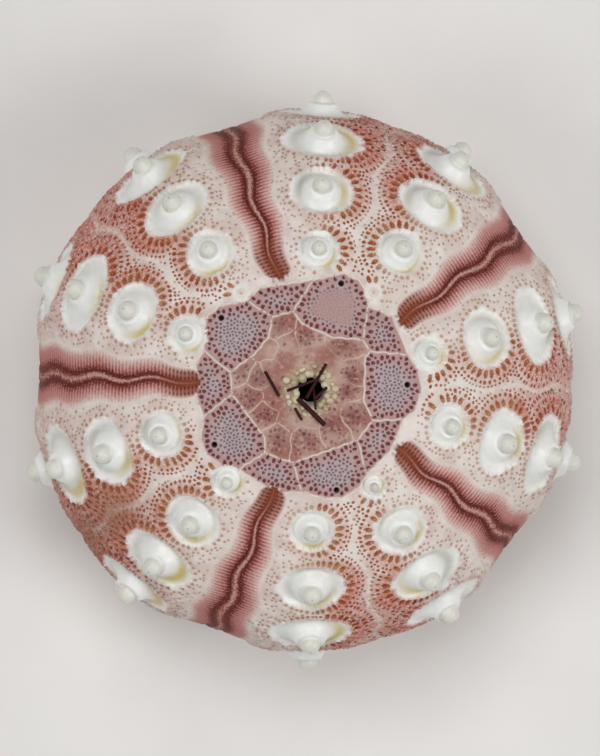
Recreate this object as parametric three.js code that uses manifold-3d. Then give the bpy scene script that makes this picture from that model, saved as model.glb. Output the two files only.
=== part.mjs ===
// The empty shell of a sea urchin: a hollow, flattened globe, open below at the mouth and
// above at a small vent, with ten columns of knobs, five sinuous grooved bands between
// pairs of columns and a rosette of ten plates on top. Short spine fragments lie loose
// over the vent.
// Lengths are in millimetres and angles in degrees unless a name says otherwise; +Z is up.
import * as THREE from "three";
import { mergeVertices } from "three/addons/utils/BufferGeometryUtils.js";
import Module from "manifold-3d";

// The globe, an ellipse turned round the Z axis.
const EQUATOR_RADIUS = 25.1;
const HALF_HEIGHT = 15.2;
const CENTRE_HEIGHT = 13.3;
const WALL = 1.7;
const MOUTH_RADIUS = 11;
const MOUTH_POINTS = 40;
// The edge of the mouth is drawn up by this, over this much of the arc above it.
const MOUTH_TUCK = 0.9;
const MOUTH_TUCK_REACH = 3.6;
// The globe's axis stands here, so that the box round the whole shell is centred.
const AXIS_AT = new THREE.Vector2(-0.158, 0.091);

// The vent in the top and the beads round it.
const VENT_RADIUS = 1.2;
const VENT_AT = new THREE.Vector2(0, -0.55);
const VENT_POINTS = 12;
const BEAD_COUNT = 13;
const BEAD_RADIUS = 0.38;
const BEAD_RING_RADIUS = 1.72;

// Five sectors round the axis. A band runs down the middle between two sectors.
const SECTORS = 5;
const SECTOR_TURN = 360 / SECTORS;
const FIRST_SECTOR = 70.5;
const COLUMN_TURN = 15.5;
const BAND_HALF_WIDTH = 6.6;
const BAND_GROOVE_TURN = 1.8;
const BAND_GROOVE_DEPTH = 0.42;
const BAND_SINK = 0.2;
const BAND_START = 10.9;
const BAND_STEP = 1.95;
const BAND_SWAY = 0.34;
const BAND_SWAY_REACH = 2.0;
const SECTOR_SWELL = 0.2;
const SUTURE_DEPTH = 0.15;
// Each column of knobs stands out from the globe by this, round its widest part, and the
// middle of the sector between two columns by less.
const COLUMN_SWELL = 0.5;
const MIDDLE_DIP = 0.25;
const MIDDLE_DIP_TURN = 7;
const COLUMN_SWELL_TURN = 16;
const SWELL_ARCS = { start: 12, full: 25, fading: 38, end: 47 };

// The knobs of one column: the arc from the top of the globe down to the first full-sized
// knob, the arc from one knob to the next, and a stunted knob above them.
const COLUMNS = [
  { sector: 0, side: 1, first: 12.6, step: 6.05 },
  { sector: 0, side: -1, first: 15.3, step: 6.0, stunted: { arc: 10.4, size: 0.55 } },
  { sector: 1, side: 1, first: 12.4, step: 5.9 },
  { sector: 1, side: -1, first: 15.6, step: 5.85, stunted: { arc: 10.6, size: 0.55 } },
  { sector: 2, side: 1, first: 17.3, step: 5.8, stunted: { arc: 12.0, size: 0.85 } },
  { sector: 2, side: -1, first: 14.8, step: 5.85 },
  { sector: 3, side: 1, first: 16.7, step: 5.8, stunted: { arc: 11.4, size: 0.7 } },
  { sector: 3, side: -1, first: 14.0, step: 6.05 },
  { sector: 4, side: 1, first: 11.7, step: 6.0 },
  { sector: 4, side: -1, first: 13.9, step: 5.9 },
];
const LAST_KNOB_ARC = 47.2;
const FOOT_KNOB_ARC = 49.2;
// Sizes of a knob at arcs down the globe: the hollow's radius across its column, the boss's
// radius at its foot and the ball's radius.
const SIZE_ARCS = [10, 12.5, 15.4, 18.5, 21.5, 24.5, 30, 36, 42, 50];
const HOLLOW_RADII = [1.5, 1.95, 2.3, 3.0, 3.4, 3.9, 3.9, 3.5, 2.9, 2.5];
const BOSS_RADII = [1.1, 1.45, 1.8, 2.0, 2.05, 2.05, 2.05, 2.05, 1.95, 1.8];
const BALL_RADII = [0.55, 0.72, 0.86, 0.92, 0.95, 0.96, 0.96, 0.93, 0.85, 0.8];
const HOLLOW_ALONG_MOST = 2.4;
const HOLLOW_ALONG_SHARE = 0.97;
const BOSS_ALONG_SHARE = 0.86;
const HOLLOW_DEPTH = 0.45;
const RIM_LIFT = 0.1;
const RIM_CROWDING = 0.9;
const SHELF_RADIUS_SHARE = 1.4;
const SHELF_HEIGHT_SHARE = 0.28;

// The top plates' outlines, clockwise corners in X and Y about the axis.
const PLATES = [
  [[5.6, 3.0], [9.1, 2.7], [10.4, -0.1], [9.8, -2.7], [8.7, -3.3], [5.8, -3.4], [5.0, -1.6], [5.1, 2.5]],
  [[4.9, 4.1], [5.4, 7.2], [7.7, 6.2], [9.1, 2.7], [5.6, 3.0]],
  [[-1.6, 6.7], [0.3, 9.6], [4.1, 10.2], [5.4, 8.2], [5.4, 7.2], [4.9, 4.1], [2.1, 4.3], [-0.8, 5.6]],
  [[-3.5, 6.2], [-5.8, 7.7], [-4.6, 8.9], [0.3, 9.6], [-1.6, 6.7]],
  [[-7.4, 1.1], [-9.8, 3.1], [-9.7, 5.3], [-9.1, 6.9], [-5.8, 7.7], [-3.5, 6.2], [-3.8, 4.4], [-5.1, 2.8]],
  [[-7.2, -0.9], [-9.8, -3.0], [-10.5, -1.3], [-10.5, 1.8], [-9.8, 3.1], [-7.4, 1.1]],
  [[-4.2, -6.4], [-6.6, -7.9], [-9.4, -6.7], [-10.0, -5.4], [-9.8, -3.0], [-7.2, -0.9], [-4.2, -4.9]],
  [[-1.6, -7.3], [-0.7, -10.0], [-3.1, -10.1], [-6.6, -7.9], [-4.2, -6.4]],
  [[4.4, -5.2], [5.3, -8.4], [4.1, -9.8], [2.9, -10.9], [-0.7, -10.0], [-1.6, -7.3]],
  [[5.8, -3.4], [8.7, -3.3], [7.5, -6.2], [5.3, -8.4], [4.4, -5.2]],
];
const PLATE_SEAM_LIFT = 0.1;
const PLATE_SINK = 0.1;
const PLATE_INSET = 0.45;
const PLATE_STEP = 1.3;
const TOP_ARC = 10.6;

// Spacing of the plain points between the features, and of the smooth inner wall's.
const FILL_STEP = 1.9;
const FILL_GAP = 1.15;
const INNER_STEP = 4.6;

// The loose spine fragments: two ends as X, Y and height over the top of the globe.
const FRAGMENTS = [
  { ends: [[-4.2, 1.2, 0.16], [-2.9, -1.1, 0.24]], thick: 0.3 },
  { ends: [[-2.2, -0.6, 0.62], [0.4, 0.4, 1.08]], thick: 0.26 },
  { ends: [[1.45, 1.9, 0.42], [-0.4, -1.3, 0.5]], thick: 0.3 },
  { ends: [[-1.2, -1.3, 0.62], [1.3, -3.75, 0.3]], thick: 0.46 },
  { ends: [[0.3, -0.4, 0.0], [0.45, -2.3, 0.72]], thick: 0.22 },
  { ends: [[1.5, -0.3, 0.62], [0.4, -1.3, 0.9]], thick: 0.26 },
  { ends: [[-1.45, -2.2, 0.5], [-0.8, -3.3, 0.2]], thick: 0.26 },
];
const FRAGMENT_TAPER = 0.72;
const FRAGMENT_SIDES = 6;

const wasm = await Module();
wasm.setup();

// The globe's profile as a table of polar angle, radius, height, arc and the conformal
// depth that makes a flat map of the globe in which small circles stay circles.
class Meridian {
  constructor(steps = 4000) {
    this.rows = [];
    let arc = 0;
    let depth = 0;
    for (let i = 1; i < steps; i += 1) {
      const angle = (Math.PI * i) / steps;
      const radius = EQUATOR_RADIUS * Math.sin(angle);
      const height = HALF_HEIGHT * Math.cos(angle);
      const before = this.rows[this.rows.length - 1];
      const stride = before
        ? Math.hypot(radius - before.radius, height - before.height)
        : radius;
      arc += stride;
      depth += before ? stride / ((radius + before.radius) / 2) : Math.log(radius);
      this.rows.push({ angle, radius, height, arc, depth });
    }
  }

  // The value of one column where another column has the value given.
  look(wanted, key, value) {
    let low = 0;
    let high = this.rows.length - 1;
    while (high - low > 1) {
      const middle = (low + high) >> 1;
      if (this.rows[middle][key] <= value) low = middle;
      else high = middle;
    }
    const a = this.rows[low];
    const b = this.rows[high];
    const share = (value - a[key]) / (b[key] - a[key]);
    return a[wanted] + (b[wanted] - a[wanted]) * share;
  }
}
const meridian = new Meridian();
const upperRows = meridian.rows.filter((row) => row.angle <= Math.PI / 2);

// The arc down the upper half at which the globe has this radius.
function arcAtRadius(radius) {
  const row = upperRows.find((candidate) => candidate.radius >= radius);
  return row.arc;
}

const MOUTH_ARC =
  meridian.rows[meridian.rows.length - 1].arc - arcAtRadius(MOUTH_RADIUS);

// How far the globe swells out under the columns of knobs at a place.
function swellAt(arc, turn) {
  const { smoothstep } = THREE.MathUtils;
  const half = SECTOR_TURN / 2;
  const whole = (((turn - FIRST_SECTOR + half) % 360) + 360) % SECTOR_TURN;
  const fromMiddle = whole - half;
  const column = COLUMN_SWELL * smoothstep(half - Math.abs(fromMiddle), 0, COLUMN_SWELL_TURN);
  const dip = MIDDLE_DIP * Math.exp(-((fromMiddle / MIDDLE_DIP_TURN) ** 2));
  const upper = smoothstep(arc, SWELL_ARCS.start, SWELL_ARCS.full);
  const lower = 1 - smoothstep(arc, SWELL_ARCS.fading, SWELL_ARCS.end);
  return (column - dip) * upper * lower;
}

// The point, the outward normal and the two directions along the globe at a place on it.
function frameAt(arc, turn) {
  const angle = meridian.look("angle", "arc", arc);
  const azimuth = THREE.MathUtils.degToRad(turn);
  const outward = new THREE.Vector3(Math.cos(azimuth), Math.sin(azimuth), 0);
  const radius = EQUATOR_RADIUS * Math.sin(angle);
  const height = CENTRE_HEIGHT + HALF_HEIGHT * Math.cos(angle);
  const normal = outward
    .clone()
    .multiplyScalar(Math.sin(angle) / EQUATOR_RADIUS)
    .setZ(Math.cos(angle) / HALF_HEIGHT)
    .normalize();
  const east = new THREE.Vector3(-Math.sin(azimuth), Math.cos(azimuth), 0);
  const point = outward.multiplyScalar(radius).setZ(height);
  point.x += AXIS_AT.x;
  point.y += AXIS_AT.y;
  point.addScaledVector(normal, swellAt(arc, turn));
  return { point, normal, east, south: normal.clone().cross(east).negate(), radius };
}

// A point on the globe, raised along the normal and drawn up near the mouth.
function raised(arc, turn, lift) {
  const { point, normal } = frameAt(arc, turn);
  const near = THREE.MathUtils.smoothstep(arc, MOUTH_ARC - MOUTH_TUCK_REACH, MOUTH_ARC);
  return point.addScaledVector(normal, lift - MOUTH_TUCK * near);
}

// The value of a size at an arc, read from its table.
function sizeAt(table, arc) {
  let i = 0;
  while (i < SIZE_ARCS.length - 2 && arc > SIZE_ARCS[i + 1]) i += 1;
  const share = (arc - SIZE_ARCS[i]) / (SIZE_ARCS[i + 1] - SIZE_ARCS[i]);
  return THREE.MathUtils.lerp(table[i], table[i + 1], share);
}

// One knob: where it stands and how wide its parts are.
class Knob {
  constructor(column, arc, size) {
    this.column = column;
    this.arc = arc;
    this.turn = FIRST_SECTOR + SECTOR_TURN * column.sector + COLUMN_TURN * column.side;
    this.across = sizeAt(HOLLOW_RADII, arc) * size;
    this.along = Math.min(this.across * HOLLOW_ALONG_SHARE, HOLLOW_ALONG_MOST);
    this.boss = Math.min(sizeAt(BOSS_RADII, arc) * size, this.along * BOSS_ALONG_SHARE);
    this.ball = sizeAt(BALL_RADII, arc) * size;
    this.frame = frameAt(arc, this.turn);
  }

  // How far out of the hollow's centre a place lies, 1 on its rim.
  share(arc, turn) {
    let gap = (turn - this.turn) % 360;
    if (gap > 180) gap -= 360;
    if (gap < -180) gap += 360;
    const radius = meridian.look("radius", "arc", arc);
    const aside = THREE.MathUtils.degToRad(gap) * radius;
    return Math.hypot(aside / this.across, (arc - this.arc) / this.along);
  }
}

// Every knob of every column, from the stunted one at the top to the last at the mouth.
function layOutKnobs() {
  const knobs = [];
  for (const column of COLUMNS) {
    if (column.stunted) {
      knobs.push(new Knob(column, column.stunted.arc, column.stunted.size));
    }
    const foot = column.side > 0 ? FOOT_KNOB_ARC : LAST_KNOB_ARC;
    for (let arc = column.first; arc < foot - column.step * 0.7; arc += column.step) {
      knobs.push(new Knob(column, arc, 1));
    }
    knobs.push(new Knob(column, foot, 1));
  }
  return knobs;
}
const knobs = layOutKnobs();

// How far a band's middle line sways aside at an arc, away from the knobs beside it.
function bandSway(band, arc) {
  let sway = 0;
  for (const knob of knobs) {
    const { sector, side } = knob.column;
    const before = sector === band && side > 0;
    const after = sector === (band + 1) % SECTORS && side < 0;
    if (!before && !after) continue;
    const near = Math.exp(-(((arc - knob.arc) / BAND_SWAY_REACH) ** 2));
    sway += (before ? BAND_SWAY : -BAND_SWAY) * near;
  }
  return sway;
}

// The turn of a band's middle line at an arc.
function bandTurn(band, arc) {
  const radius = meridian.look("radius", "arc", arc);
  const straight = FIRST_SECTOR + SECTOR_TURN * (band + 0.5);
  return straight + THREE.MathUtils.radToDeg(bandSway(band, arc) / radius);
}

// The angle between a place and the middle of the nearest band.
function turnFromBand(arc, turn) {
  let nearest = 360;
  for (let band = 0; band < SECTORS; band += 1) {
    const gap = Math.abs(((turn - bandTurn(band, arc) + 540) % 360) - 180);
    nearest = Math.min(nearest, gap);
  }
  return nearest;
}

// The points of one skin of the shell, each with its place in the flat map.
class Skin {
  constructor() {
    this.spots = [];
  }

  add(depth, turn, place, rim = null) {
    const azimuth = THREE.MathUtils.degToRad(turn);
    const nudge = 1 + 1e-5 * Math.sin(this.spots.length * 12.9898);
    const reach = Math.exp(depth) * nudge;
    const x = reach * Math.cos(azimuth);
    const y = reach * Math.sin(azimuth);
    this.spots.push({ x, y, place, rim });
  }

  addAtArc(arc, turn, lift, rim = null) {
    this.add(meridian.look("depth", "arc", arc), turn, raised(arc, turn, lift), rim);
  }

  // Whether every point so far is at least a gap away from a place.
  clear(place, gap) {
    return this.spots.every((spot) => spot.place.distanceToSquared(place) >= gap * gap);
  }
}

// Three corners of the flat map and the circle through them.
function triangleOf(spots, a, b, c) {
  const [p, q, r] = [spots[a], spots[b], spots[c]];
  const twice = 2 * ((q.x - p.x) * (r.y - p.y) - (q.y - p.y) * (r.x - p.x));
  const qq = (q.x - p.x) ** 2 + (q.y - p.y) ** 2;
  const rr = (r.x - p.x) ** 2 + (r.y - p.y) ** 2;
  const dx = ((r.y - p.y) * qq - (q.y - p.y) * rr) / twice;
  const dy = ((q.x - p.x) * rr - (r.x - p.x) * qq) / twice;
  return { corners: [a, b, c], x: p.x + dx, y: p.y + dy, reach: dx * dx + dy * dy };
}

// The edges that belong to one triangle of the list only, in its order of corners.
function openEdges(triangles) {
  const seen = new Map();
  for (const { corners } of triangles) {
    for (let i = 0; i < 3; i += 1) {
      const a = corners[i];
      const b = corners[(i + 1) % 3];
      const key = a < b ? `${a}_${b}` : `${b}_${a}`;
      seen.set(key, seen.has(key) ? null : [a, b]);
    }
  }
  return [...seen.values()].filter((edge) => edge !== null);
}

// Joins the points of the flat map so that no triangle's circle holds another point.
function triangulate(spots) {
  const far = 1e5;
  const frame = [
    { x: -far, y: -far },
    { x: far, y: -far },
    { x: 0, y: far },
  ];
  const all = [...spots, ...frame];
  const n = spots.length;
  let triangles = [triangleOf(all, n, n + 1, n + 2)];
  for (let i = 0; i < n; i += 1) {
    const kept = [];
    const broken = [];
    for (const triangle of triangles) {
      const dx = all[i].x - triangle.x;
      const dy = all[i].y - triangle.y;
      (dx * dx + dy * dy < triangle.reach ? broken : kept).push(triangle);
    }
    for (const [a, b] of openEdges(broken)) kept.push(triangleOf(all, a, b, i));
    triangles = kept;
  }
  return triangles
    .map((triangle) => triangle.corners)
    .filter((corners) => corners.every((corner) => corner < n));
}

// The arc and turn of a place beside a knob, given in the knob's own directions.
function besideKnob(knob, aside, down) {
  const arc = knob.arc + down;
  const radius = meridian.look("radius", "arc", arc);
  return { arc, turn: knob.turn + THREE.MathUtils.radToDeg(aside / radius) };
}

// Adds one ring of a knob that lies on the globe, its points crowded towards the next
// knobs of the column where the ring is longer across than along.
function addGroundRing(skin, knob, across, along, count, lift, twist) {
  const crowding = RIM_CROWDING * (1 - along / across);
  for (let i = 0; i < count; i += 1) {
    const even = (2 * Math.PI * (i + twist)) / count;
    const angle = even + crowding * Math.sin(2 * even);
    const { arc, turn } = besideKnob(
      knob,
      Math.cos(angle) * across,
      Math.sin(angle) * along,
    );
    const taken = knobs.some((other) => other !== knob && other.share(arc, turn) < 1.05);
    const past = arc > MOUTH_ARC - 0.5 || turnFromBand(arc, turn) < BAND_HALF_WIDTH;
    if (taken || past) continue;
    skin.addAtArc(arc, turn, lift);
  }
}

// Adds one ring of a knob that stands off the globe; the map holds it further in or out
// than it stands, so that the ball's steep sides keep room in the map.
function addStandingRing(skin, knob, mapped, count, radius, height, twist) {
  const { point, normal, east, south } = knob.frame;
  for (let i = 0; i < count; i += 1) {
    const angle = (2 * Math.PI * (i + twist)) / count;
    const { arc, turn } = besideKnob(
      knob,
      Math.cos(angle) * mapped,
      Math.sin(angle) * mapped,
    );
    const place = point
      .clone()
      .addScaledVector(east, Math.cos(angle) * radius)
      .addScaledVector(south, Math.sin(angle) * radius)
      .addScaledVector(normal, height);
    skin.add(meridian.look("depth", "arc", arc), turn, place);
  }
}

// Adds a knob: rim and floor of its hollow, boss, shelf and ball.
function addKnob(skin, knob) {
  const { across, along, boss, ball } = knob;
  const shelf = Math.min(SHELF_RADIUS_SHARE * ball, boss * 0.8);
  const shelfHeight = SHELF_HEIGHT_SHARE * boss;
  addGroundRing(skin, knob, across, along, 14, RIM_LIFT, 0.5);
  addGroundRing(skin, knob, boss, boss, 8, -HOLLOW_DEPTH, 0.5);
  addStandingRing(skin, knob, 0.56 * boss, 8, shelf, shelfHeight, 0);
  addStandingRing(skin, knob, 0.38 * boss, 7, ball * 0.97, shelfHeight + 0.04, 0.5);
  addStandingRing(skin, knob, 0.2 * boss, 6, ball * 0.74, shelfHeight + ball, 0);
  addStandingRing(skin, knob, 0, 1, 0, shelfHeight + ball * 1.35, 0);
}

// Adds the grooved bands, row by row: edges, grooves and middle ridge.
function addBands(skin) {
  const lines = [
    { turn: 0, lift: -BAND_SINK * 0.6 },
    { turn: BAND_GROOVE_TURN, lift: -BAND_SINK - BAND_GROOVE_DEPTH },
    { turn: BAND_HALF_WIDTH, lift: -BAND_SINK * 0.3 },
  ];
  for (let band = 0; band < SECTORS; band += 1) {
    for (let arc = BAND_START; arc < MOUTH_ARC - 0.6; arc += BAND_STEP) {
      for (const line of lines) {
        for (const side of line.turn > 0 ? [-1, 1] : [1]) {
          const turn = bandTurn(band, arc) + side * line.turn;
          skin.addAtArc(arc, turn, line.lift);
        }
      }
    }
  }
}

// Adds points along a closed outline on the top, keeping clear of what is there.
function addOutline(skin, corners, lift) {
  corners.forEach(([x, y], i) => {
    const [nextX, nextY] = corners[(i + 1) % corners.length];
    const pieces = Math.ceil(Math.hypot(nextX - x, nextY - y) / PLATE_STEP);
    for (let k = 0; k < pieces; k += 1) {
      const along = k / pieces;
      addOnTop(skin, x + (nextX - x) * along, y + (nextY - y) * along, lift, 0.38);
    }
  });
}

// Adds one point on the top, at X and Y about the axis.
function addOnTop(skin, x, y, lift, gap) {
  const arc = arcAtRadius(Math.hypot(x, y));
  const turn = THREE.MathUtils.radToDeg(Math.atan2(y, x));
  const inHollow = knobs.some((knob) => knob.share(arc, turn) < 1.12);
  if (inHollow || !skin.clear(raised(arc, turn, lift), gap)) return;
  skin.addAtArc(arc, turn, lift);
}

// Adds the rosette of plates: raised seams first, then each plate's sunk field.
function addPlates(skin) {
  for (const corners of PLATES) addOutline(skin, corners, PLATE_SEAM_LIFT);
  for (const corners of PLATES) {
    const middle = new THREE.Vector2();
    for (const [x, y] of corners) middle.add(new THREE.Vector2(x, y));
    middle.divideScalar(corners.length);
    const inset = corners.map(([x, y]) => {
      const out = new THREE.Vector2(x, y).sub(middle);
      const shorter = Math.max(0, out.length() - PLATE_INSET * 1.3);
      return out.setLength(shorter).add(middle).toArray();
    });
    addOutline(skin, inset, -PLATE_SINK);
    addOnTop(skin, middle.x, middle.y, -PLATE_SINK, 0.5);
  }
}

// Adds the vent's rim and one ring round it.
function addVent(skin) {
  for (let i = 0; i < VENT_POINTS; i += 1) {
    const angle = (2 * Math.PI * i) / VENT_POINTS;
    const x = VENT_AT.x + VENT_RADIUS * Math.cos(angle);
    const y = VENT_AT.y + VENT_RADIUS * Math.sin(angle);
    skin.addAtArc(
      arcAtRadius(Math.hypot(x, y)),
      THREE.MathUtils.radToDeg(Math.atan2(y, x)),
      0,
      { ring: "vent", index: i },
    );
  }
}

// Adds the rim of the mouth.
function addMouth(skin) {
  for (let i = 0; i < MOUTH_POINTS; i += 1) {
    skin.addAtArc(MOUTH_ARC, (360 * i) / MOUTH_POINTS, 0, { ring: "mouth", index: i });
  }
}

// Adds plain points between the features, swelling each sector and creasing its middle.
function addFill(skin) {
  for (let arc = 3.2; arc < MOUTH_ARC - 1; arc += FILL_STEP * 0.87) {
    const radius = meridian.look("radius", "arc", arc);
    const count = Math.round((2 * Math.PI * radius) / FILL_STEP / SECTORS) * SECTORS;
    for (let i = 0; i < count; i += 1) {
      const turn = FIRST_SECTOR + (360 * i) / count;
      const inHollow = knobs.some((knob) => knob.share(arc, turn) < 1.15);
      const inBand = arc > TOP_ARC && turnFromBand(arc, turn) < BAND_HALF_WIDTH + 1;
      if (inHollow || inBand) continue;
      const fromMiddle = Math.abs(((turn - FIRST_SECTOR + 36) % SECTOR_TURN) - 36);
      const swell = arc > TOP_ARC ? SECTOR_SWELL : 0;
      const crease = arc > TOP_ARC && fromMiddle < 1 ? SUTURE_DEPTH : 0;
      const lift = swell - crease;
      if (skin.clear(raised(arc, turn, lift), FILL_GAP)) skin.addAtArc(arc, turn, lift);
    }
  }
}

// The outer skin with all of its features.
function outerSkin() {
  const skin = new Skin();
  addVent(skin);
  addMouth(skin);
  for (const knob of knobs) addKnob(skin, knob);
  addBands(skin);
  addPlates(skin);
  addFill(skin);
  return skin;
}

// The smooth inner skin, a wall's thickness further in.
function innerSkin() {
  const skin = new Skin();
  addVent(skin);
  addMouth(skin);
  for (const spot of skin.spots) spot.place = null;
  for (let arc = INNER_STEP; arc < MOUTH_ARC - 2; arc += INNER_STEP * 0.87) {
    const radius = meridian.look("radius", "arc", arc);
    const count = Math.round((2 * Math.PI * radius) / INNER_STEP);
    for (let i = 0; i < count; i += 1) {
      const turn = (360 * (i + 0.37 * arc)) / count;
      skin.add(meridian.look("depth", "arc", arc), turn, raised(arc, turn, -WALL));
    }
  }
  return skin;
}

// The faces of a skin, without those that would close the vent or the mouth.
function facesOf(skin) {
  return triangulate(skin.spots).filter((corners) => {
    const rings = corners.map((corner) => skin.spots[corner].rim?.ring);
    return !(rings[0] && rings[0] === rings[1] && rings[1] === rings[2]);
  });
}

// The shell as one closed solid: outer skin, inner skin and the two rims between them.
function shellSolid() {
  const outer = outerSkin();
  const inner = innerSkin();
  const outerFaces = facesOf(outer);
  const innerFaces = facesOf(inner);
  outer.spots.forEach((spot, i) => {
    if (!spot.rim) return;
    const arc = meridian.look("arc", "depth", Math.log(Math.hypot(spot.x, spot.y)));
    const turn = THREE.MathUtils.radToDeg(Math.atan2(spot.y, spot.x));
    inner.spots[i].place = raised(arc, turn, -WALL);
  });
  const shift = outer.spots.length;
  const faces = [...outerFaces];
  for (const [a, b, c] of innerFaces) faces.push([a + shift, c + shift, b + shift]);
  addRim(faces, 0, VENT_POINTS, shift, -1);
  addRim(faces, VENT_POINTS, MOUTH_POINTS, shift, 1);
  const places = [...outer.spots, ...inner.spots].map((spot) => spot.place);
  return solidFrom(places, faces);
}

// Joins the outer and the inner ring of an opening with a strip of faces.
function addRim(faces, start, count, shift, way) {
  for (let i = 0; i < count; i += 1) {
    const a = start + i;
    const b = start + ((i + 1) % count);
    if (way > 0) faces.push([a, a + shift, b], [b, a + shift, b + shift]);
    else faces.push([a, b, a + shift], [b, b + shift, a + shift]);
  }
}

// A solid from points and faces.
function solidFrom(places, faces) {
  const vertProperties = new Float32Array(places.length * 3);
  places.forEach((place, i) => place.toArray(vertProperties, i * 3));
  const triVerts = new Uint32Array(faces.flat());
  return new wasm.Manifold(new wasm.Mesh({ numProp: 3, vertProperties, triVerts }));
}

// A solid from a three.js geometry.
function solidOf(geometry) {
  const bare = geometry.clone();
  bare.deleteAttribute("normal");
  bare.deleteAttribute("uv");
  const merged = mergeVertices(bare, 1e-5);
  return new wasm.Manifold(
    new wasm.Mesh({
      numProp: 3,
      vertProperties: merged.attributes.position.array,
      triVerts: new Uint32Array(merged.index.array),
    }),
  );
}

// A three.js geometry from a solid.
function geometryOf(solid) {
  const mesh = solid.getMesh();
  const geometry = new THREE.BufferGeometry();
  geometry.setAttribute(
    "position",
    new THREE.BufferAttribute(new Float32Array(mesh.vertProperties), 3),
  );
  geometry.setIndex(new THREE.BufferAttribute(new Uint32Array(mesh.triVerts), 1));
  geometry.computeVertexNormals();
  return geometry;
}

// The beads round the vent, sunk a little into the top.
function beadSolids() {
  const beads = [];
  for (let i = 0; i < BEAD_COUNT; i += 1) {
    const angle = (2 * Math.PI * i) / BEAD_COUNT + 0.2 * Math.sin(5 * i);
    const ring = BEAD_RING_RADIUS + 0.16 * Math.sin(3.1 * i);
    const x = VENT_AT.x + ring * Math.cos(angle);
    const y = VENT_AT.y + ring * Math.sin(angle);
    const turn = THREE.MathUtils.radToDeg(Math.atan2(y, x));
    const place = raised(arcAtRadius(Math.hypot(x, y)), turn, BEAD_RADIUS * 0.25);
    const bead = new THREE.IcosahedronGeometry(BEAD_RADIUS, 0);
    bead.translate(place.x, place.y, place.z);
    beads.push(solidOf(bead));
  }
  return beads;
}

// The whole shell, with the lowest knobs worn flat where it stands.
function shellGeometry() {
  const solid = [shellSolid(), ...beadSolids()].reduce((sum, next) => sum.add(next));
  return geometryOf(solid.trimByPlane([0, 0, 1], 0));
}

// One loose spine fragment between its two ends.
function fragmentGeometry({ ends, thick }) {
  const top = CENTRE_HEIGHT + HALF_HEIGHT;
  const [from, to] = ends.map(
    ([x, y, height]) => new THREE.Vector3(x + AXIS_AT.x, y + AXIS_AT.y, top + height),
  );
  const along = to.clone().sub(from);
  const stick = new THREE.CylinderGeometry(
    (thick / 2) * FRAGMENT_TAPER,
    thick / 2,
    along.length(),
    FRAGMENT_SIDES,
  );
  const upright = new THREE.Vector3(0, 1, 0);
  const turn = new THREE.Quaternion().setFromUnitVectors(upright, along.normalize());
  stick.applyQuaternion(turn);
  const middle = from.add(to).divideScalar(2);
  stick.translate(middle.x, middle.y, middle.z);
  return stick;
}

const group = new THREE.Group();
group.name = "sea_urchin_shell";

const shellMaterial = new THREE.MeshStandardMaterial({
  name: "shell",
  color: 0xe4d2c8,
  roughness: 0.6,
});
const shell = new THREE.Mesh(shellGeometry(), shellMaterial);
shell.name = "test";
group.add(shell);

FRAGMENTS.forEach((fragment, i) => {
  const material = new THREE.MeshStandardMaterial({
    name: "spine",
    color: 0x3a1f26,
    roughness: 0.55,
  });
  const stick = new THREE.Mesh(fragmentGeometry(fragment), material);
  stick.name = `spine_fragment_${i + 1}`;
  group.add(stick);
});

export default group;
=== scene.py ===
"""Looks of a sea urchin's empty shell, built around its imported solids.

The shell's skin is one closed mesh laid over the globe that the solids hold: knobs on bosses
in shallow hollows, grooved bands, pitted plates and the cracked skin round the vent. Masks on
its points say what each place is, and the shell finish turns them into colour. Beads stand
round the vent, and loose spine fragments lie over it.
Lengths are in millimetres and angles in degrees until a mesh is made, which is in metres.
"""

import logging
import math
from dataclasses import dataclass, field
from enum import Enum
from typing import Callable, NamedTuple, Optional

import bmesh
import bpy
import numpy as np
from mathutils import Matrix, Vector
from mathutils.geometry import delaunay_2d_cdt


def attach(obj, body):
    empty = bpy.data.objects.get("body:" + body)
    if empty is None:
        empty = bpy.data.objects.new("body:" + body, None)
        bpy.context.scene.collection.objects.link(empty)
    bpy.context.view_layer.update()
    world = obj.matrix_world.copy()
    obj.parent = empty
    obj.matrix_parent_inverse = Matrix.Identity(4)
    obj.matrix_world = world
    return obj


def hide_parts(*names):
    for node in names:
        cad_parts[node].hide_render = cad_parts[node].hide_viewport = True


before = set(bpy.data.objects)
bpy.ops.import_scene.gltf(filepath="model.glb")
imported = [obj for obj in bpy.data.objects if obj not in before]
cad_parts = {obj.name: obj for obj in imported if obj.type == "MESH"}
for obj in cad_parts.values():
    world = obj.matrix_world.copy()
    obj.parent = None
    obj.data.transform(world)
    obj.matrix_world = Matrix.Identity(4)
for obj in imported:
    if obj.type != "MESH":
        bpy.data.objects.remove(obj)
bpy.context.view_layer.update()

MM = 0.001
SEED = 20
FULL_TURN = 2 * math.pi
ROW_PITCH = 0.87  # rows of a triangular grid, as a share of the gap between its points
LOG = logging.getLogger("sea_urchin_shell")

Array = np.ndarray
Values = Array | float
Span = tuple[float, float]
Plan = tuple[tuple[float, float], ...]
Colour = tuple[int, int, int]
Ramp = tuple[tuple[float, Colour], ...]
Masks = dict["Mask", Values]
Piece = bpy.types.Object
Material = bpy.types.Material
Node = bpy.types.Node
Socket = bpy.types.NodeSocket


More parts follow.
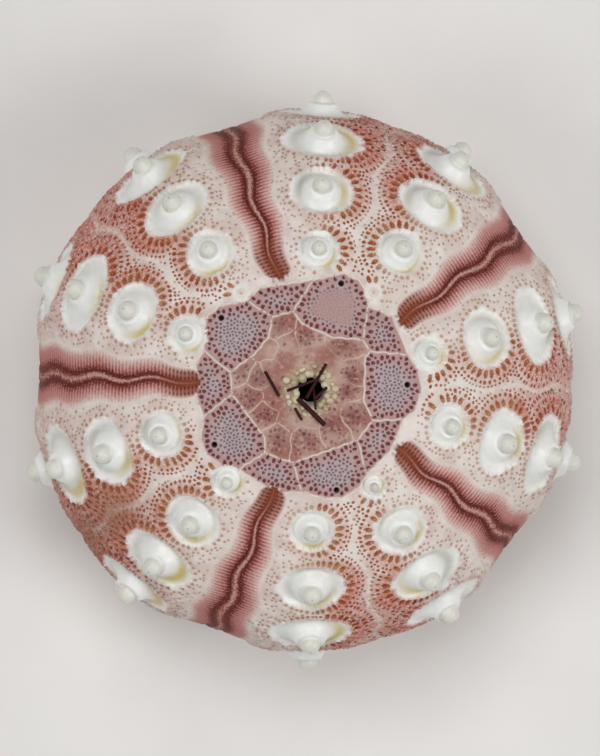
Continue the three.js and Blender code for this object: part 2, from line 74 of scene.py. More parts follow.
class Mask(Enum):
    """What a point of the skin is, or how much painted shade it has, from 0 to 1, kept as an
    attribute of the mesh.
    """

    BONE = "bone"
    BALL = "ball"
    # painted shade: the dark inside holes and at the vent's edge
    PORE_SHADE = "pore_shade"
    # painted shade: a yellow crescent on one side of each boss and its bowl
    YELLOW_SHADE = "yellow_shade"
    # painted shade: an olive ring round each boss's foot, strongest opposite the yellow crescent
    OLIVE_SHADE = "olive_shade"
    SOIL = "soil"
    PIT = "pit"
    TONE = "tone"
    WARM = "warm"
    BLUSH = "blush"
    SEAM = "seam"
    BAND = "band"
    ACROSS = "across"
    TOOTH = "tooth"
    DOT = "dot"
    CROWN = "crown"
    VAULT = "vault"
    INSIDE = "inside"


def smooth(low: float, high: float, value: Values) -> Values:
    """Eases from 0 to 1 as a value goes from low to high, which may be the smaller of the two."""
    share = np.clip((value - low) / (high - low), 0.0, 1.0)
    return share * share * (3.0 - 2.0 * share)


def bell(value: Values, reach: Values) -> Values:
    """A bell-shaped fall from 1 at no distance, with the reach at which it is a third."""
    return np.exp(-((value / reach) ** 2))


def signed_turn(turn: Array) -> Array:
    """An angle brought between -180 and 180 degrees."""
    return (turn + 540.0) % 360.0 - 180.0


def round_angles(count: int) -> Array:
    """Evenly spaced angles of a full turn, in radians."""
    return FULL_TURN * np.arange(count) / count


@dataclass(frozen=True)
class Places:
    """Places on the globe: arcs down from the top and angles round the axis."""

    arc: Array
    turn: Array

    def __len__(self) -> int:
        """How many places there are."""
        return len(self.arc)

    def pick(self, chosen: Array) -> "Places":
        """The chosen ones of the places."""
        return Places(self.arc[chosen], self.turn[chosen])


@dataclass
class Globe:
    """The plain globe under all the relief: an ellipse turned round an upright axis."""

    equator_radius: float = 25.1
    half_height: float = 15.2
    centre_height: float = 13.3
    axis_x: float = -0.158
    axis_y: float = 0.091
    first_sector: float = 70.5
    sector_turn: float = 72.0
    sectors: int = 5
    vent_y: float = -0.55
    column_swell: float = 0.5
    column_swell_turn: float = 16.0
    middle_dip: float = 0.25
    middle_dip_turn: float = 7.0
    swell_arcs: tuple[float, float, float, float] = (12.0, 25.0, 38.0, 47.0)
    wall: float = 1.7
    mouth_radius: float = 11.0
    mouth_tuck: float = 0.9
    mouth_tuck_reach: float = 3.6
    steps: int = 8000
    angles: Array = field(init=False)
    radii: Array = field(init=False)
    arcs: Array = field(init=False)
    depths: Array = field(init=False)
    mouth_arc: float = field(init=False)

    def __post_init__(self) -> None:
        """Works out the profile's table of arc, radius and depth in the flat map."""
        self.angles = np.linspace(0.0, math.pi, self.steps + 1)[1:-1]
        self.radii = self.equator_radius * np.sin(self.angles)
        heights = self.half_height * np.cos(self.angles)
        strides = np.hypot(np.diff(self.radii), np.diff(heights))
        middles = (self.radii[1:] + self.radii[:-1]) / 2
        first = self.radii[0]
        self.arcs = first + np.concatenate([[0.0], np.cumsum(strides)])
        self.depths = math.log(first) + np.concatenate([[0.0], np.cumsum(strides / middles)])
        self.mouth_arc = float(self.arcs[-1] - self.arc_at(self.mouth_radius))

    def radius(self, arc: Values) -> Values:
        """The distance from the axis at an arc down from the top."""
        return np.interp(arc, self.arcs, self.radii)

    def arc_at(self, radius: Values) -> Values:
        """The arc down the upper half where the globe has a radius."""
        upper = self.angles <= math.pi / 2
        return np.interp(radius, self.radii[upper], self.arcs[upper])

    def tuck(self, arc: Array) -> Array:
        """How far the skin is drawn in near the edge of the mouth."""
        return self.mouth_tuck * smooth(self.mouth_arc - self.mouth_tuck_reach, self.mouth_arc, arc)

    def swell(self, at: Places) -> Array:
        """How far the globe swells out under the columns of knobs.

        Args:
            at: The places.

        Returns:
            The heights over the ellipse.
        """
        half = self.sector_turn / 2
        from_middle = (at.turn - self.first_sector + half) % self.sector_turn - half
        column = self.column_swell * smooth(0.0, self.column_swell_turn, half - np.abs(from_middle))
        dip = self.middle_dip * bell(from_middle, self.middle_dip_turn)
        start, full, fading, end = self.swell_arcs
        return (column - dip) * smooth(start, full, at.arc) * smooth(end, fading, at.arc)

    def flat(self, at: Places) -> Array:
        """Lays places in the flat map, in which small circles of the globe stay circles.

        Args:
            at: The places.

        Returns:
            Their places in the map, a row each.
        """
        deepest = float(np.interp(self.mouth_arc, self.arcs, self.depths))
        reach = np.exp(np.interp(at.arc, self.arcs, self.depths) - deepest / 2)
        azimuth = np.radians(at.turn)
        return np.stack([reach * np.cos(azimuth), reach * np.sin(azimuth)], axis=-1)

    def ground(self, at: Places) -> tuple[Array, Array]:
        """Finds places of the plain globe in space.

        Args:
            at: The places.

        Returns:
            The points and the unit directions outward there, a row each.
        """
        angle = np.interp(at.arc, self.arcs, self.angles)
        azimuth = np.radians(at.turn)
        out = np.sin(angle)
        up = np.cos(angle)
        x = self.axis_x + self.equator_radius * out * np.cos(azimuth)
        y = self.axis_y + self.equator_radius * out * np.sin(azimuth)
        point = np.stack([x, y, self.centre_height + self.half_height * up], axis=-1)
        east = out * np.cos(azimuth) / self.equator_radius
        north = out * np.sin(azimuth) / self.equator_radius
        normal = np.stack([east, north, up / self.half_height], axis=-1)
        normal = normal / np.linalg.norm(normal, axis=-1, keepdims=True)
        return point + normal * self.swell(at)[..., None], normal

    def at_plan(self, x: Array, y: Array) -> Places:
        """Places on the top, given in plan about the axis."""
        return Places(self.arc_at(np.hypot(x, y)), np.degrees(np.arctan2(y, x)))

    def plan_of(self, at: Places) -> tuple[Array, Array]:
        """Where places lie in plan about the axis."""
        radius = self.radius(at.arc)
        return radius * np.cos(np.radians(at.turn)), radius * np.sin(np.radians(at.turn))


@dataclass(frozen=True)
class Column:
    """One column of knobs: its place, its first full knob, the step and a stunted knob."""

    sector: int
    side: int
    first: float
    step: float
    stunted_arc: float = 0.0
    stunted_size: float = 0.0


@dataclass
class Knobs:
    """Where all the knobs stand and how wide their parts are, in arrays of one row a knob."""

    globe: Globe
    column_turn: float = 15.5
    foot_arc: float = 49.2
    last_arc: float = 47.2
    last_gap: float = 0.7
    along_most: float = 2.4
    along_share: float = 0.97
    boss_share: float = 0.86
    field_reach: Span = (1.9, 0.7)
    field_facing: Span = (-0.45, 0.5)
    field_least: float = 0.32
    columns: tuple[Column, ...] = (
        Column(0, 1, 12.6, 6.05),
        Column(0, -1, 15.3, 6.0, 10.4, 0.55),
        Column(1, 1, 12.4, 5.9),
        Column(1, -1, 15.6, 5.85, 10.6, 0.55),
        Column(2, 1, 17.3, 5.8, 12.0, 0.85),
        Column(2, -1, 14.8, 5.85),
        Column(3, 1, 16.7, 5.8, 11.4, 0.7),
        Column(3, -1, 14.0, 6.05),
        Column(4, 1, 11.7, 6.0),
        Column(4, -1, 13.9, 5.9),
    )
    size_arcs: tuple[float, ...] = (10, 12.5, 15.4, 18.5, 21.5, 24.5, 30, 36, 42, 50)
    hollow_radii: tuple[float, ...] = (1.5, 1.95, 2.3, 3.0, 3.4, 3.9, 3.9, 3.5, 2.9, 2.5)
    boss_radii: tuple[float, ...] = (1.1, 1.45, 1.8, 2.0, 2.05, 2.05, 2.05, 2.05, 1.95, 1.8)
    ball_radii: tuple[float, ...] = (0.55, 0.72, 0.86, 0.92, 0.95, 0.96, 0.96, 0.93, 0.85, 0.8)
    arc: Array = field(init=False)
    turn: Array = field(init=False)
    size: Array = field(init=False)
    sector: Array = field(init=False)
    side: Array = field(init=False)
    across: Array = field(init=False)
    along: Array = field(init=False)
    boss: Array = field(init=False)
    ball: Array = field(init=False)

    def __post_init__(self) -> None:
        """Lays the knobs out and reads their sizes from the tables."""
        rows = [row for column in self.columns for row in self.column_rows(column)]
        self.arc, self.size, self.sector, self.side = np.array(rows, float).T
        sector_turn = self.globe.first_sector + self.globe.sector_turn * self.sector
        self.turn = sector_turn + self.column_turn * self.side
        self.across = self.sized(self.hollow_radii)
        self.along = np.minimum(self.across * self.along_share, self.along_most)
        self.boss = np.minimum(self.sized(self.boss_radii), self.along * self.boss_share)
        self.ball = self.sized(self.ball_radii)

    def sized(self, radii: tuple[float, ...]) -> Array:
        """The knobs' own radii, read from a table of radii by arc."""
        return np.interp(self.arc, self.size_arcs, radii) * self.size

    def column_rows(self, column: Column) -> list[tuple[float, float, int, int]]:
        """Lists the knobs of a column, from the top down.

        Args:
            column: The column.

        Returns:
            The arc and size of each knob, with its sector and side.
        """
        rows = []
        if column.stunted_size > 0:
            rows.append((column.stunted_arc, column.stunted_size, column.sector, column.side))
        foot = self.foot_arc if column.side > 0 else self.last_arc
        arc = column.first
        while arc < foot - column.step * self.last_gap:
            rows.append((arc, 1.0, column.sector, column.side))
            arc += column.step
        rows.append((foot, 1.0, column.sector, column.side))
        return rows

    def count(self) -> int:
        """How many knobs there are."""
        return len(self.arc)

    def reaches(self, at: Places) -> tuple[Array, Array]:
        """How far places lie beside and below each knob, as shares of its hollow; a column a knob."""
        swing = np.radians(signed_turn(at.turn[:, None] - self.turn[None, :]))
        aside = swing * self.globe.radius(at.arc)[:, None] / self.across
        return aside, (at.arc[:, None] - self.arc[None, :]) / self.along

    def share(self, at: Places) -> Array:
        """How far out of each knob's hollow places lie, 1 on its rim; a column a knob."""
        return np.hypot(*self.reaches(at))

    def in_field(self, at: Places) -> Array:
        """How far places lie in the fields of pits round the hollows, fullest on inner sides.

        Args:
            at: The places.

        Returns:
            Shares from 0 to 1.
        """
        aside, down = self.reaches(at)
        share = np.hypot(aside, down)
        nearest = share.argmin(axis=1)
        rows = np.arange(len(at))
        least = np.maximum(share[rows, nearest], 1e-6)
        out = (least - 1) * (self.across + self.along)[nearest] / 2
        facing = -self.side[nearest] * aside[rows, nearest] / least
        inner = np.maximum(smooth(*self.field_facing, facing), self.field_least)
        return smooth(*self.field_reach, out) * inner

    def beside(self, knob: int, aside: Array, down: Array) -> Places:
        """Places beside a knob, given in its own directions."""
        arc = self.arc[knob] + down
        return Places(arc, self.turn[knob] + np.degrees(aside / self.globe.radius(arc)))

    def middle(self, knob: int) -> Places:
        """The place of a knob's middle."""
        return Places(self.arc[knob : knob + 1], self.turn[knob : knob + 1])


@dataclass
class Bands:
    """The five grooved bands that run down between the sectors, swaying round the knobs."""

    globe: Globe
    knobs: Knobs
    half_turn: float = 7.5
    sway: float = 0.34
    sway_reach: float = 2.0
    start: float = 10.25
    tip: float = 0.9
    line_arcs: tuple[float, ...] = (11.0, 15.0, 20.0, 25.0, 30.0)
    line_shares: tuple[float, ...] = (0.09, 0.12, 0.16, 0.22, 0.25)
    far_off: float = 9.0

    def middle(self, band: Array, arc: Array) -> Array:
        """Finds a band's middle line.

        Args:
            band: The band's number at each place.
            arc: The arcs of the places.

        Returns:
            The line's angle round the axis at each.
        """
        knobs = self.knobs
        before = (knobs.sector[None, :] == band[:, None]) & (knobs.side > 0)[None, :]
        following = (band[:, None] + 1) % self.globe.sectors
        after = (knobs.sector[None, :] == following) & (knobs.side < 0)[None, :]
        near = bell(arc[:, None] - knobs.arc[None, :], self.sway_reach)
        sway = self.sway * (near * before - near * after).sum(axis=1)
        straight = self.globe.first_sector + self.globe.sector_turn * (band + 0.5)
        return straight + np.degrees(sway / self.globe.radius(arc))

    def width(self, arc: Array) -> Array:
        """Half the angle that a band takes, rounded off at its upper end."""
        short = np.clip((self.start + self.tip - arc) / self.tip, 0.0, 1.0)
        return self.half_turn * np.sqrt(np.maximum(1.0 - short**2, 1e-4))

    def dark_line(self, arc: Array) -> Array:
        """Where the dark lines of the groove lie, as a share of half the width."""
        return np.interp(arc, self.line_arcs, self.line_shares)

    def across(self, at: Places) -> Array:
        """How far from the nearest band's middle places lie, 1 at its edge.

        Args:
            at: The places.

        Returns:
            The shares, large above the bands' upper ends.
        """
        sector = (at.turn - self.globe.first_sector) / self.globe.sector_turn - 0.5
        band = np.round(sector) % self.globe.sectors
        gap = np.abs(signed_turn(at.turn - self.middle(band, at.arc)))
        return np.where(at.arc < self.start, self.far_off, gap / self.width(at.arc))


@dataclass
class Sutures:
    """The zigzag lines down the middles of the sectors, where the knobs' plates meet."""

    globe: Globe
    knobs: Knobs
    zigzag: float = 0.6
    reach: float = 2.3

    def offset(self, at: Places) -> tuple[Array, Array]:
        """How far places lie from the nearest zigzag line and from the plain middle.

        Args:
            at: The places.

        Returns:
            Distances across the line in millimetres, and angles from the sector's middle.
        """
        knobs = self.knobs
        globe = self.globe
        sector = np.round((at.turn - globe.first_sector) / globe.sector_turn) % globe.sectors
        from_middle = signed_turn(at.turn - globe.first_sector - globe.sector_turn * sector)
        same = knobs.sector[None, :] == sector[:, None]
        push = knobs.side[None, :] * bell(at.arc[:, None] - knobs.arc[None, :], self.reach)
        line = -self.zigzag * (push * same).sum(axis=1)
        return np.radians(from_middle) * globe.radius(at.arc) - line, from_middle


class Cells:
    """Circles kept by the cell of space that they lie in, so that neighbours are found fast."""

    AROUND = tuple((i, j, k) for i in (-1, 0, 1) for j in (-1, 0, 1) for k in (-1, 0, 1))

    def __init__(self, size: float) -> None:
        """Starts empty, with cells of a size."""
        self.size = size
        self.held: dict[tuple[int, ...], list[tuple[float, ...]]] = {}

    def cell_of(self, place: list[float]) -> tuple[int, ...]:
        """The cell that a place lies in."""
        return tuple(int(math.floor(value / self.size)) for value in place)

    def put(self, place: list[float], radius: float = 0.0) -> None:
        """Keeps a circle."""
        self.held.setdefault(self.cell_of(place), []).append((*place, radius))

    def crowded(self, place: list[float], reach: float) -> bool:
        """Tells whether a circle comes within reach of a place.

        Args:
            place: The place.
            reach: The reach, which with a circle's radius is less than a cell's size.

        Returns:
            Whether one does.
        """
        x, y, z = place
        cell = self.cell_of(place)
        for i, j, k in self.AROUND:
            for a, b, c, radius in self.held.get((cell[0] + i, cell[1] + j, cell[2] + k), ()):
                if (a - x) ** 2 + (b - y) ** 2 + (c - z) ** 2 < (radius + reach) ** 2:
                    return True
        return False


class Spots:
    """The points of the skin, kept apart from each other, with their masks."""

    CELL = 0.45

    def __init__(self, globe: Globe) -> None:
        """Starts with no points over a globe."""
        self.globe = globe
        self.cells = Cells(self.CELL)
        self.flats: list[Array] = []
        self.places: list[Array] = []
        self.masks: list[Masks] = []

    def claim(self, points: Array, room: float) -> Array:
        """Takes the points that have room, in order.

        Args:
            points: Places on the plain globe.
            room: The least distance that each keeps from those taken before.

        Returns:
            Which points were taken.
        """
        taken = np.zeros(len(points), bool)
        for i, point in enumerate(points.tolist()):
            taken[i] = room == 0 or not self.cells.crowded(point, room)
            if taken[i]:
                self.cells.put(point)
        return taken

    def add(self, at: Places, lift: Values, room: float, masks: Masks) -> Array:
        """Adds points that lie over the globe, where there is room.

        Args:
            at: Their places.
            lift: Their heights over the globe.
            room: The distance kept from other points.
            masks: Their masks; those not named are 0.

        Returns:
            Which points were taken.
        """
        points, normals = self.globe.ground(at)
        taken = self.claim(points, room)
        height = np.broadcast_to(lift, at.arc.shape) - self.globe.tuck(at.arc)
        self.store(at, points + normals * height[:, None], masks, taken)
        return taken

    def place(self, at: Places, points: Array, masks: Masks) -> None:
        """Adds points that stand off the globe, at their places in the map."""
        taken = self.claim(self.globe.ground(at)[0], 0.0)
        self.store(at, points, masks, taken)

    def store(self, at: Places, points: Array, masks: Masks, taken: Array) -> None:
        """Keeps the points that were taken: their places in the map and in space, and their masks."""
        self.flats.append(self.globe.flat(at.pick(taken)))
        self.places.append(points[taken])
        filled = {mask: np.broadcast_to(value, taken.shape) for mask, value in masks.items()}
        self.masks.append({mask: value[taken] for mask, value in filled.items()})

    def gathered(self) -> tuple[Array, Array, Masks]:
        """Brings all the points together.

        Returns:
            Their places in the map, their places in space and their masks.
        """
        sizes = [len(flat) for flat in self.flats]
        masks = {}
        for mask in Mask:
            rows = [part.get(mask, np.zeros(n)) for part, n in zip(self.masks, sizes)]
            masks[mask] = np.concatenate(rows)
        return np.concatenate(self.flats), np.concatenate(self.places), masks


class Pit(NamedTuple):
    """One small pit: its middle, the direction of its length, its size and its colour."""

    arc: float
    turn: float
    heading: float
    length: float
    width: float
    depth: float
    dark: float
    warm: float


def pit_rows(at: Places, *columns: Values) -> Array:
    """Pits as rows of a table, from their middles and the other columns that a pit names."""
    filled = [np.broadcast_to(column, at.arc.shape) for column in (at.arc, at.turn, *columns)]
    return np.stack(filled, axis=1)


class PitTable:
    """Pits ready to be laid into the skin, in arrays of one value a pit."""

    def __init__(self, globe: Globe, rows: Array) -> None:
        """Reads the columns of a table of pits over a globe."""
        self.globe = globe
        self.rows = rows
        self.columns = Pit(*rows.T)

    def __len__(self) -> int:
        """How many pits there are."""
        return len(self.rows)

    def pick(self, chosen: Array) -> "PitTable":
        """The chosen ones of the pits."""
        return PitTable(self.globe, self.rows[chosen])

    def beside(self, aside: Array, over: Array) -> tuple[Places, Array]:
        """Finds places given in each pit's own directions.

        Args:
            aside: Distances along each pit's length, a row a pit.
            over: Distances across it, a row a pit.

        Returns:
            The places, pit by pit, and the number of the pit of each.
        """
        heading = self.columns.heading[:, None]
        east = aside * np.cos(heading) - over * np.sin(heading)
        south = aside * np.sin(heading) + over * np.cos(heading)
        arc = self.columns.arc[:, None] + south
        turn = self.columns.turn[:, None] + np.degrees(east / self.globe.radius(arc))
        owner = np.repeat(np.arange(len(self)), aside.shape[1])
        return Places(arc.ravel(), turn.ravel()), owner

    def ring(self, count: int, share: float, margin: float) -> tuple[Places, Array]:
        """Lays an oval of points round each pit.

        Args:
            count: How many points a pit gets.
            share: The oval's size as a share of the pit's.
            margin: What is added all round.

        Returns:
            The places, pit by pit, and the number of the pit of each.
        """
        angle = round_angles(count)
        aside = np.cos(angle) * (self.columns.length[:, None] / 2 * share + margin)
        over = np.sin(angle) * (self.columns.width[:, None] / 2 * share + margin)
        return self.beside(aside, over)

    def spine(self, share: float) -> tuple[Places, Array]:
        """The middle of each pit and a point either side of it, as the ring gives them."""
        spare = (self.columns.length - self.columns.width)[:, None]
        along = np.array([0.0, -share, share]) * spare / 2
        return self.beside(along, np.zeros(along.shape))


class Pits:
    """Small pits gathered before they are laid into the skin together."""

    CELL = 0.8
    LONG = 0.08

    def __init__(self, globe: Globe) -> None:
        """Starts with no pits on a globe."""
        self.globe = globe
        self.cells = Cells(self.CELL)
        self.taken: list[Pit] = []

    def circles_of(self, pit: Pit) -> list[list[float]]:
        """Covers a pit with one circle, or with three in a row where it is long.

        Args:
            pit: The pit.

        Returns:
            The circles' middles.
        """
        spare = (pit.length - pit.width) / 2
        along = np.array([0.0] if spare < self.LONG else [-spare, 0.0, spare])
        arc = pit.arc + along * math.sin(pit.heading)
        turn = pit.turn + np.degrees(along * math.cos(pit.heading) / self.globe.radius(arc))
        return self.globe.ground(Places(arc, turn))[0].tolist()

    def offer(self, rows: Array, walls: Values) -> None:
        """Takes the pits, in order, that don't run into one taken before.

        Args:
            rows: The pits, a row each.
            walls: The wall that each leaves between itself and another.
        """
        for row, wall in zip(rows.tolist(), np.broadcast_to(walls, len(rows)).tolist()):
            pit = Pit(*row)
            radius = pit.width / 2
            circles = self.circles_of(pit)
            if any(self.cells.crowded(circle, radius + wall) for circle in circles):
                continue
            for circle in circles:
                self.cells.put(circle, radius)
            self.taken.append(pit)

    def table(self) -> PitTable:
        """The pits that were taken."""
        return PitTable(self.globe, np.array(self.taken))


@dataclass(frozen=True)
class ShellFinish:
    """Chalky shell: white knobs, cream seams, rose ground, orange pits and maroon bands, with painted
    shade round the knobs and in holes.
    """

    chalk: Colour = (246, 239, 232)
    chalk_shade: Colour = (229, 217, 209)
    rose: Colour = (206, 133, 117)
    bone: Colour = (252, 253, 250)
    ball: Colour = (233, 233, 222)
    # painted shade round the knobs: yellow on one side, olive round the foot
    shade_yellow: Colour = (212, 190, 100)
    shade_olive: Colour = (156, 148, 120)
    soil: Colour = (164, 110, 82)
    cream: Colour = (242, 234, 224)
    pits: Ramp = ((0.0, (140, 55, 52)), (0.5, (164, 82, 44)), (1.0, (168, 120, 68)))
    lilac: Colour = (190, 172, 174)
    plate_edge: Colour = (191, 150, 144)
    plum: Colour = (112, 48, 60)
    slate: Colour = (92, 66, 80)
    russet: Colour = (198, 163, 151)
    rust: Colour = (166, 113, 103)
    tan: Colour = (208, 188, 162)
    band_inside: Ramp = (
        (0.0, (202, 158, 144)), (0.03, (202, 158, 144)), (0.1, (166, 108, 96)),
        (0.17, (132, 66, 58)), (0.22, (104, 43, 37)), (0.28, (104, 43, 37)),
    )
    band_tooth: Ramp = (
        (0.34, (158, 88, 81)), (0.48, (206, 144, 136)), (0.66, (226, 186, 178)),
        (1.0, (241, 229, 221)),
    )
    band_gap: Ramp = (
        (0.36, (122, 56, 51)), (0.5, (162, 94, 88)), (0.68, (204, 150, 143)),
        (0.86, (226, 198, 190)), (1.0, (241, 229, 221)),
    )
    band_blush: Colour = (192, 120, 114)
    band_tip: Colour = (150, 80, 50)
    band_dot: Colour = (84, 32, 27)
    # painted shade in holes and at the vent's edge
    hole_shade: Colour = (48, 18, 18)
    lining: Colour = (222, 208, 198)
    roughness: float = 0.58
    polish: float = 0.3
    shine: float = 0.16
    bone_gloss: float = 0.42
    grain_scale: float = 1900.0
    grain_share: float = 0.7
    fleck_scale: float = 2600.0
    fleck_share: float = 0.45
    star_share: float = 0.5
    granule_scale: float = 5200.0
    granule_shift: float = 0.22
    cell_scale: float = 4200.0
    bump_strength: float = 0.25


@dataclass(frozen=True)
class PlainFinish:
    """Two colours mixed by the grain, or by a mask of the piece if one is named."""

    name: str
    colours: tuple[Colour, Colour]
    roughness: float
    shine: float
    grain_scale: float
    bump_strength: float
    mask: Optional[str] = None
    grain_share: float = 0.8


# The spine's second, pale colour is a painted highlight, laid on its ribs by this attribute.
RIB_HIGHLIGHT = "streak"
BEAD_FINISH = PlainFinish("bead", ((230, 223, 194), (190, 168, 130)), 0.45, 0.35, 2200.0, 0.2)
SPINE_FINISH = PlainFinish("spine", ((56, 22, 22), (112, 62, 62)), 0.7, 0.15, 2600.0, 0.3, RIB_HIGHLIGHT)
FLOOR_FINISH = PlainFinish("floor", ((244, 242, 239), (244, 242, 239)), 0.8, 0.3, 60.0, 0.02)


def linear(colour: Colour) -> tuple[float, float, float, float]:
    """A colour of 0 to 255 as the linear one that a shader takes."""
    shares = [value / 255 for value in colour]
    parts = [s / 12.92 if s <= 0.04045 else ((s + 0.055) / 1.055) ** 2.4 for s in shares]
    return (parts[0], parts[1], parts[2], 1.0)


class Graph:
    """Nodes of one material or group, made and joined in short calls."""

    def __init__(self, tree: bpy.types.NodeTree) -> None:
        """Takes the tree that the nodes go into."""
        self.tree = tree

    def node(self, kind: str) -> Node:
        """A new node of a kind."""
        return self.tree.nodes.new(kind)

    def join(self, source: object, socket: Socket) -> None:
        """Feeds a socket.

        Args:
            source: Another socket, or a number or colour to set it to.
            socket: The socket.
        """
        if isinstance(source, Socket):
            self.tree.links.new(source, socket)
        else:
            socket.default_value = source

    def make(self, kind: str, inputs: dict, output: str | int, **settings: object) -> Socket:
        """Makes a shader node and feeds it.

        Args:
            kind: Its kind, without the words that all kinds begin with.
            inputs: What its inputs are fed from or set to.
            output: The output that is wanted.
            settings: Its own settings.

        Returns:
            That output.
        """
        node = self.node(f"ShaderNode{kind}")
        for name, value in settings.items():
            setattr(node, name, value)
        for key, source in inputs.items():
            self.join(source, node.inputs[key])
        return node.outputs[output]

    def attribute(self, name: str) -> Socket:
        """An attribute of the mesh."""
        return self.make("Attribute", {}, "Fac", attribute_name=name)

    def mask(self, mask: Mask) -> Socket:
        """A mask of the mesh."""
        return self.attribute(mask.value)

    def places(self) -> Socket:
        """Places on the piece, in metres."""
        return self.make("TexCoord", {}, "Object")

    def mix(self, share: object, first: object, second: object, way: str = "MIX") -> Socket:
        """Two colours blended by a share."""
        inputs = {"Factor": share, 6: first, 7: second}
        return self.make("Mix", inputs, 2, data_type="RGBA", blend_type=way)

    def tint(self, share: object, colour: Socket, other: Colour) -> Socket:
        """A colour with a fixed one laid over it by a share."""
        return self.mix(share, colour, linear(other))

    def add(self, first: object, second: object) -> Socket:
        """Two numbers added, kept from 0 to 1."""
        return self.make("Math", {0: first, 1: second}, 0, operation="ADD", use_clamp=True)

    def times(self, first: object, second: object) -> Socket:
        """Two numbers multiplied."""
        return self.make("Math", {0: first, 1: second}, 0, operation="MULTIPLY")

    def ease(self, value: object, low: float, high: float) -> Socket:
        """A number eased from 0 to 1 between two limits."""
        inputs = {"Value": value, "From Min": low, "From Max": high}
        return self.make("MapRange", inputs, "Result", interpolation_type="SMOOTHSTEP")

    def spread(self, value: object, low: float, high: float) -> Socket:
        """A number from 0 to 1 spread between two limits."""
        return self.make("MapRange", {"Value": value, "To Min": low, "To Max": high}, "Result")

    def noise(self, place: object, scale: object, detail: float = 3.0) -> Socket:
        """Noise over places, about a half."""
        inputs = {"Vector": place, "Scale": scale, "Detail": detail}
        return self.make("TexNoise", inputs, "Fac")

    def cells(self, place: object, scale: float) -> Socket:
        """How far places are from the middles of small cells."""
        return self.make("TexVoronoi", {"Vector": place, "Scale": scale}, "Distance")

    def ramp(self, value: object, stops: Ramp) -> Socket:
        """Reads a colour from a row of stops.

        Args:
            value: Where to read it.
            stops: Positions and the colours there.

        Returns:
            The colour.
        """
        node = self.node("ShaderNodeValToRGB")
        elements = node.color_ramp.elements
        while len(elements) < len(stops):
            elements.new(1.0)
        for element, (position, colour) in zip(elements, stops):
            element.position = position
            element.color = linear(colour)
        self.join(value, node.inputs["Fac"])
        return node.outputs["Color"]


def chalk_grain_group() -> bpy.types.NodeTree:
    """Makes the fine chalky grain that every surface here has, as one group.

    Returns:
        A group that takes places and a scale, and gives a shade to multiply a colour by, a
        patchiness from 0 to 1 and a height for a bump.
    """
    tree = bpy.data.node_groups.new("chalk_grain", "ShaderNodeTree")
    for name, way, kind in (
        ("Place", "INPUT", "Vector"),
        ("Scale", "INPUT", "Float"),
        ("Shade", "OUTPUT", "Color"),
        ("Patch", "OUTPUT", "Float"),
        ("Height", "OUTPUT", "Float"),
    ):
        tree.interface.new_socket(name, in_out=way, socket_type=f"NodeSocket{kind}")
    graph = Graph(tree)
    entry = graph.node("NodeGroupInput")
    leave = graph.node("NodeGroupOutput")
    coarse = graph.times(entry.outputs["Scale"], 0.22)
    fine = graph.noise(entry.outputs["Place"], entry.outputs["Scale"], 4.0)
    patch = graph.noise(entry.outputs["Place"], coarse)
    shade = graph.times(graph.spread(fine, 0.88, 1.1), graph.spread(patch, 0.9, 1.08))
    joined = graph.node("ShaderNodeCombineColor")
    for name in ("Red", "Green", "Blue"):
        graph.join(shade, joined.inputs[name])
    graph.join(joined.outputs["Color"], leave.inputs["Shade"])
    graph.join(graph.ease(patch, 0.35, 0.65), leave.inputs["Patch"])
    graph.join(fine, leave.inputs["Height"])
    return tree


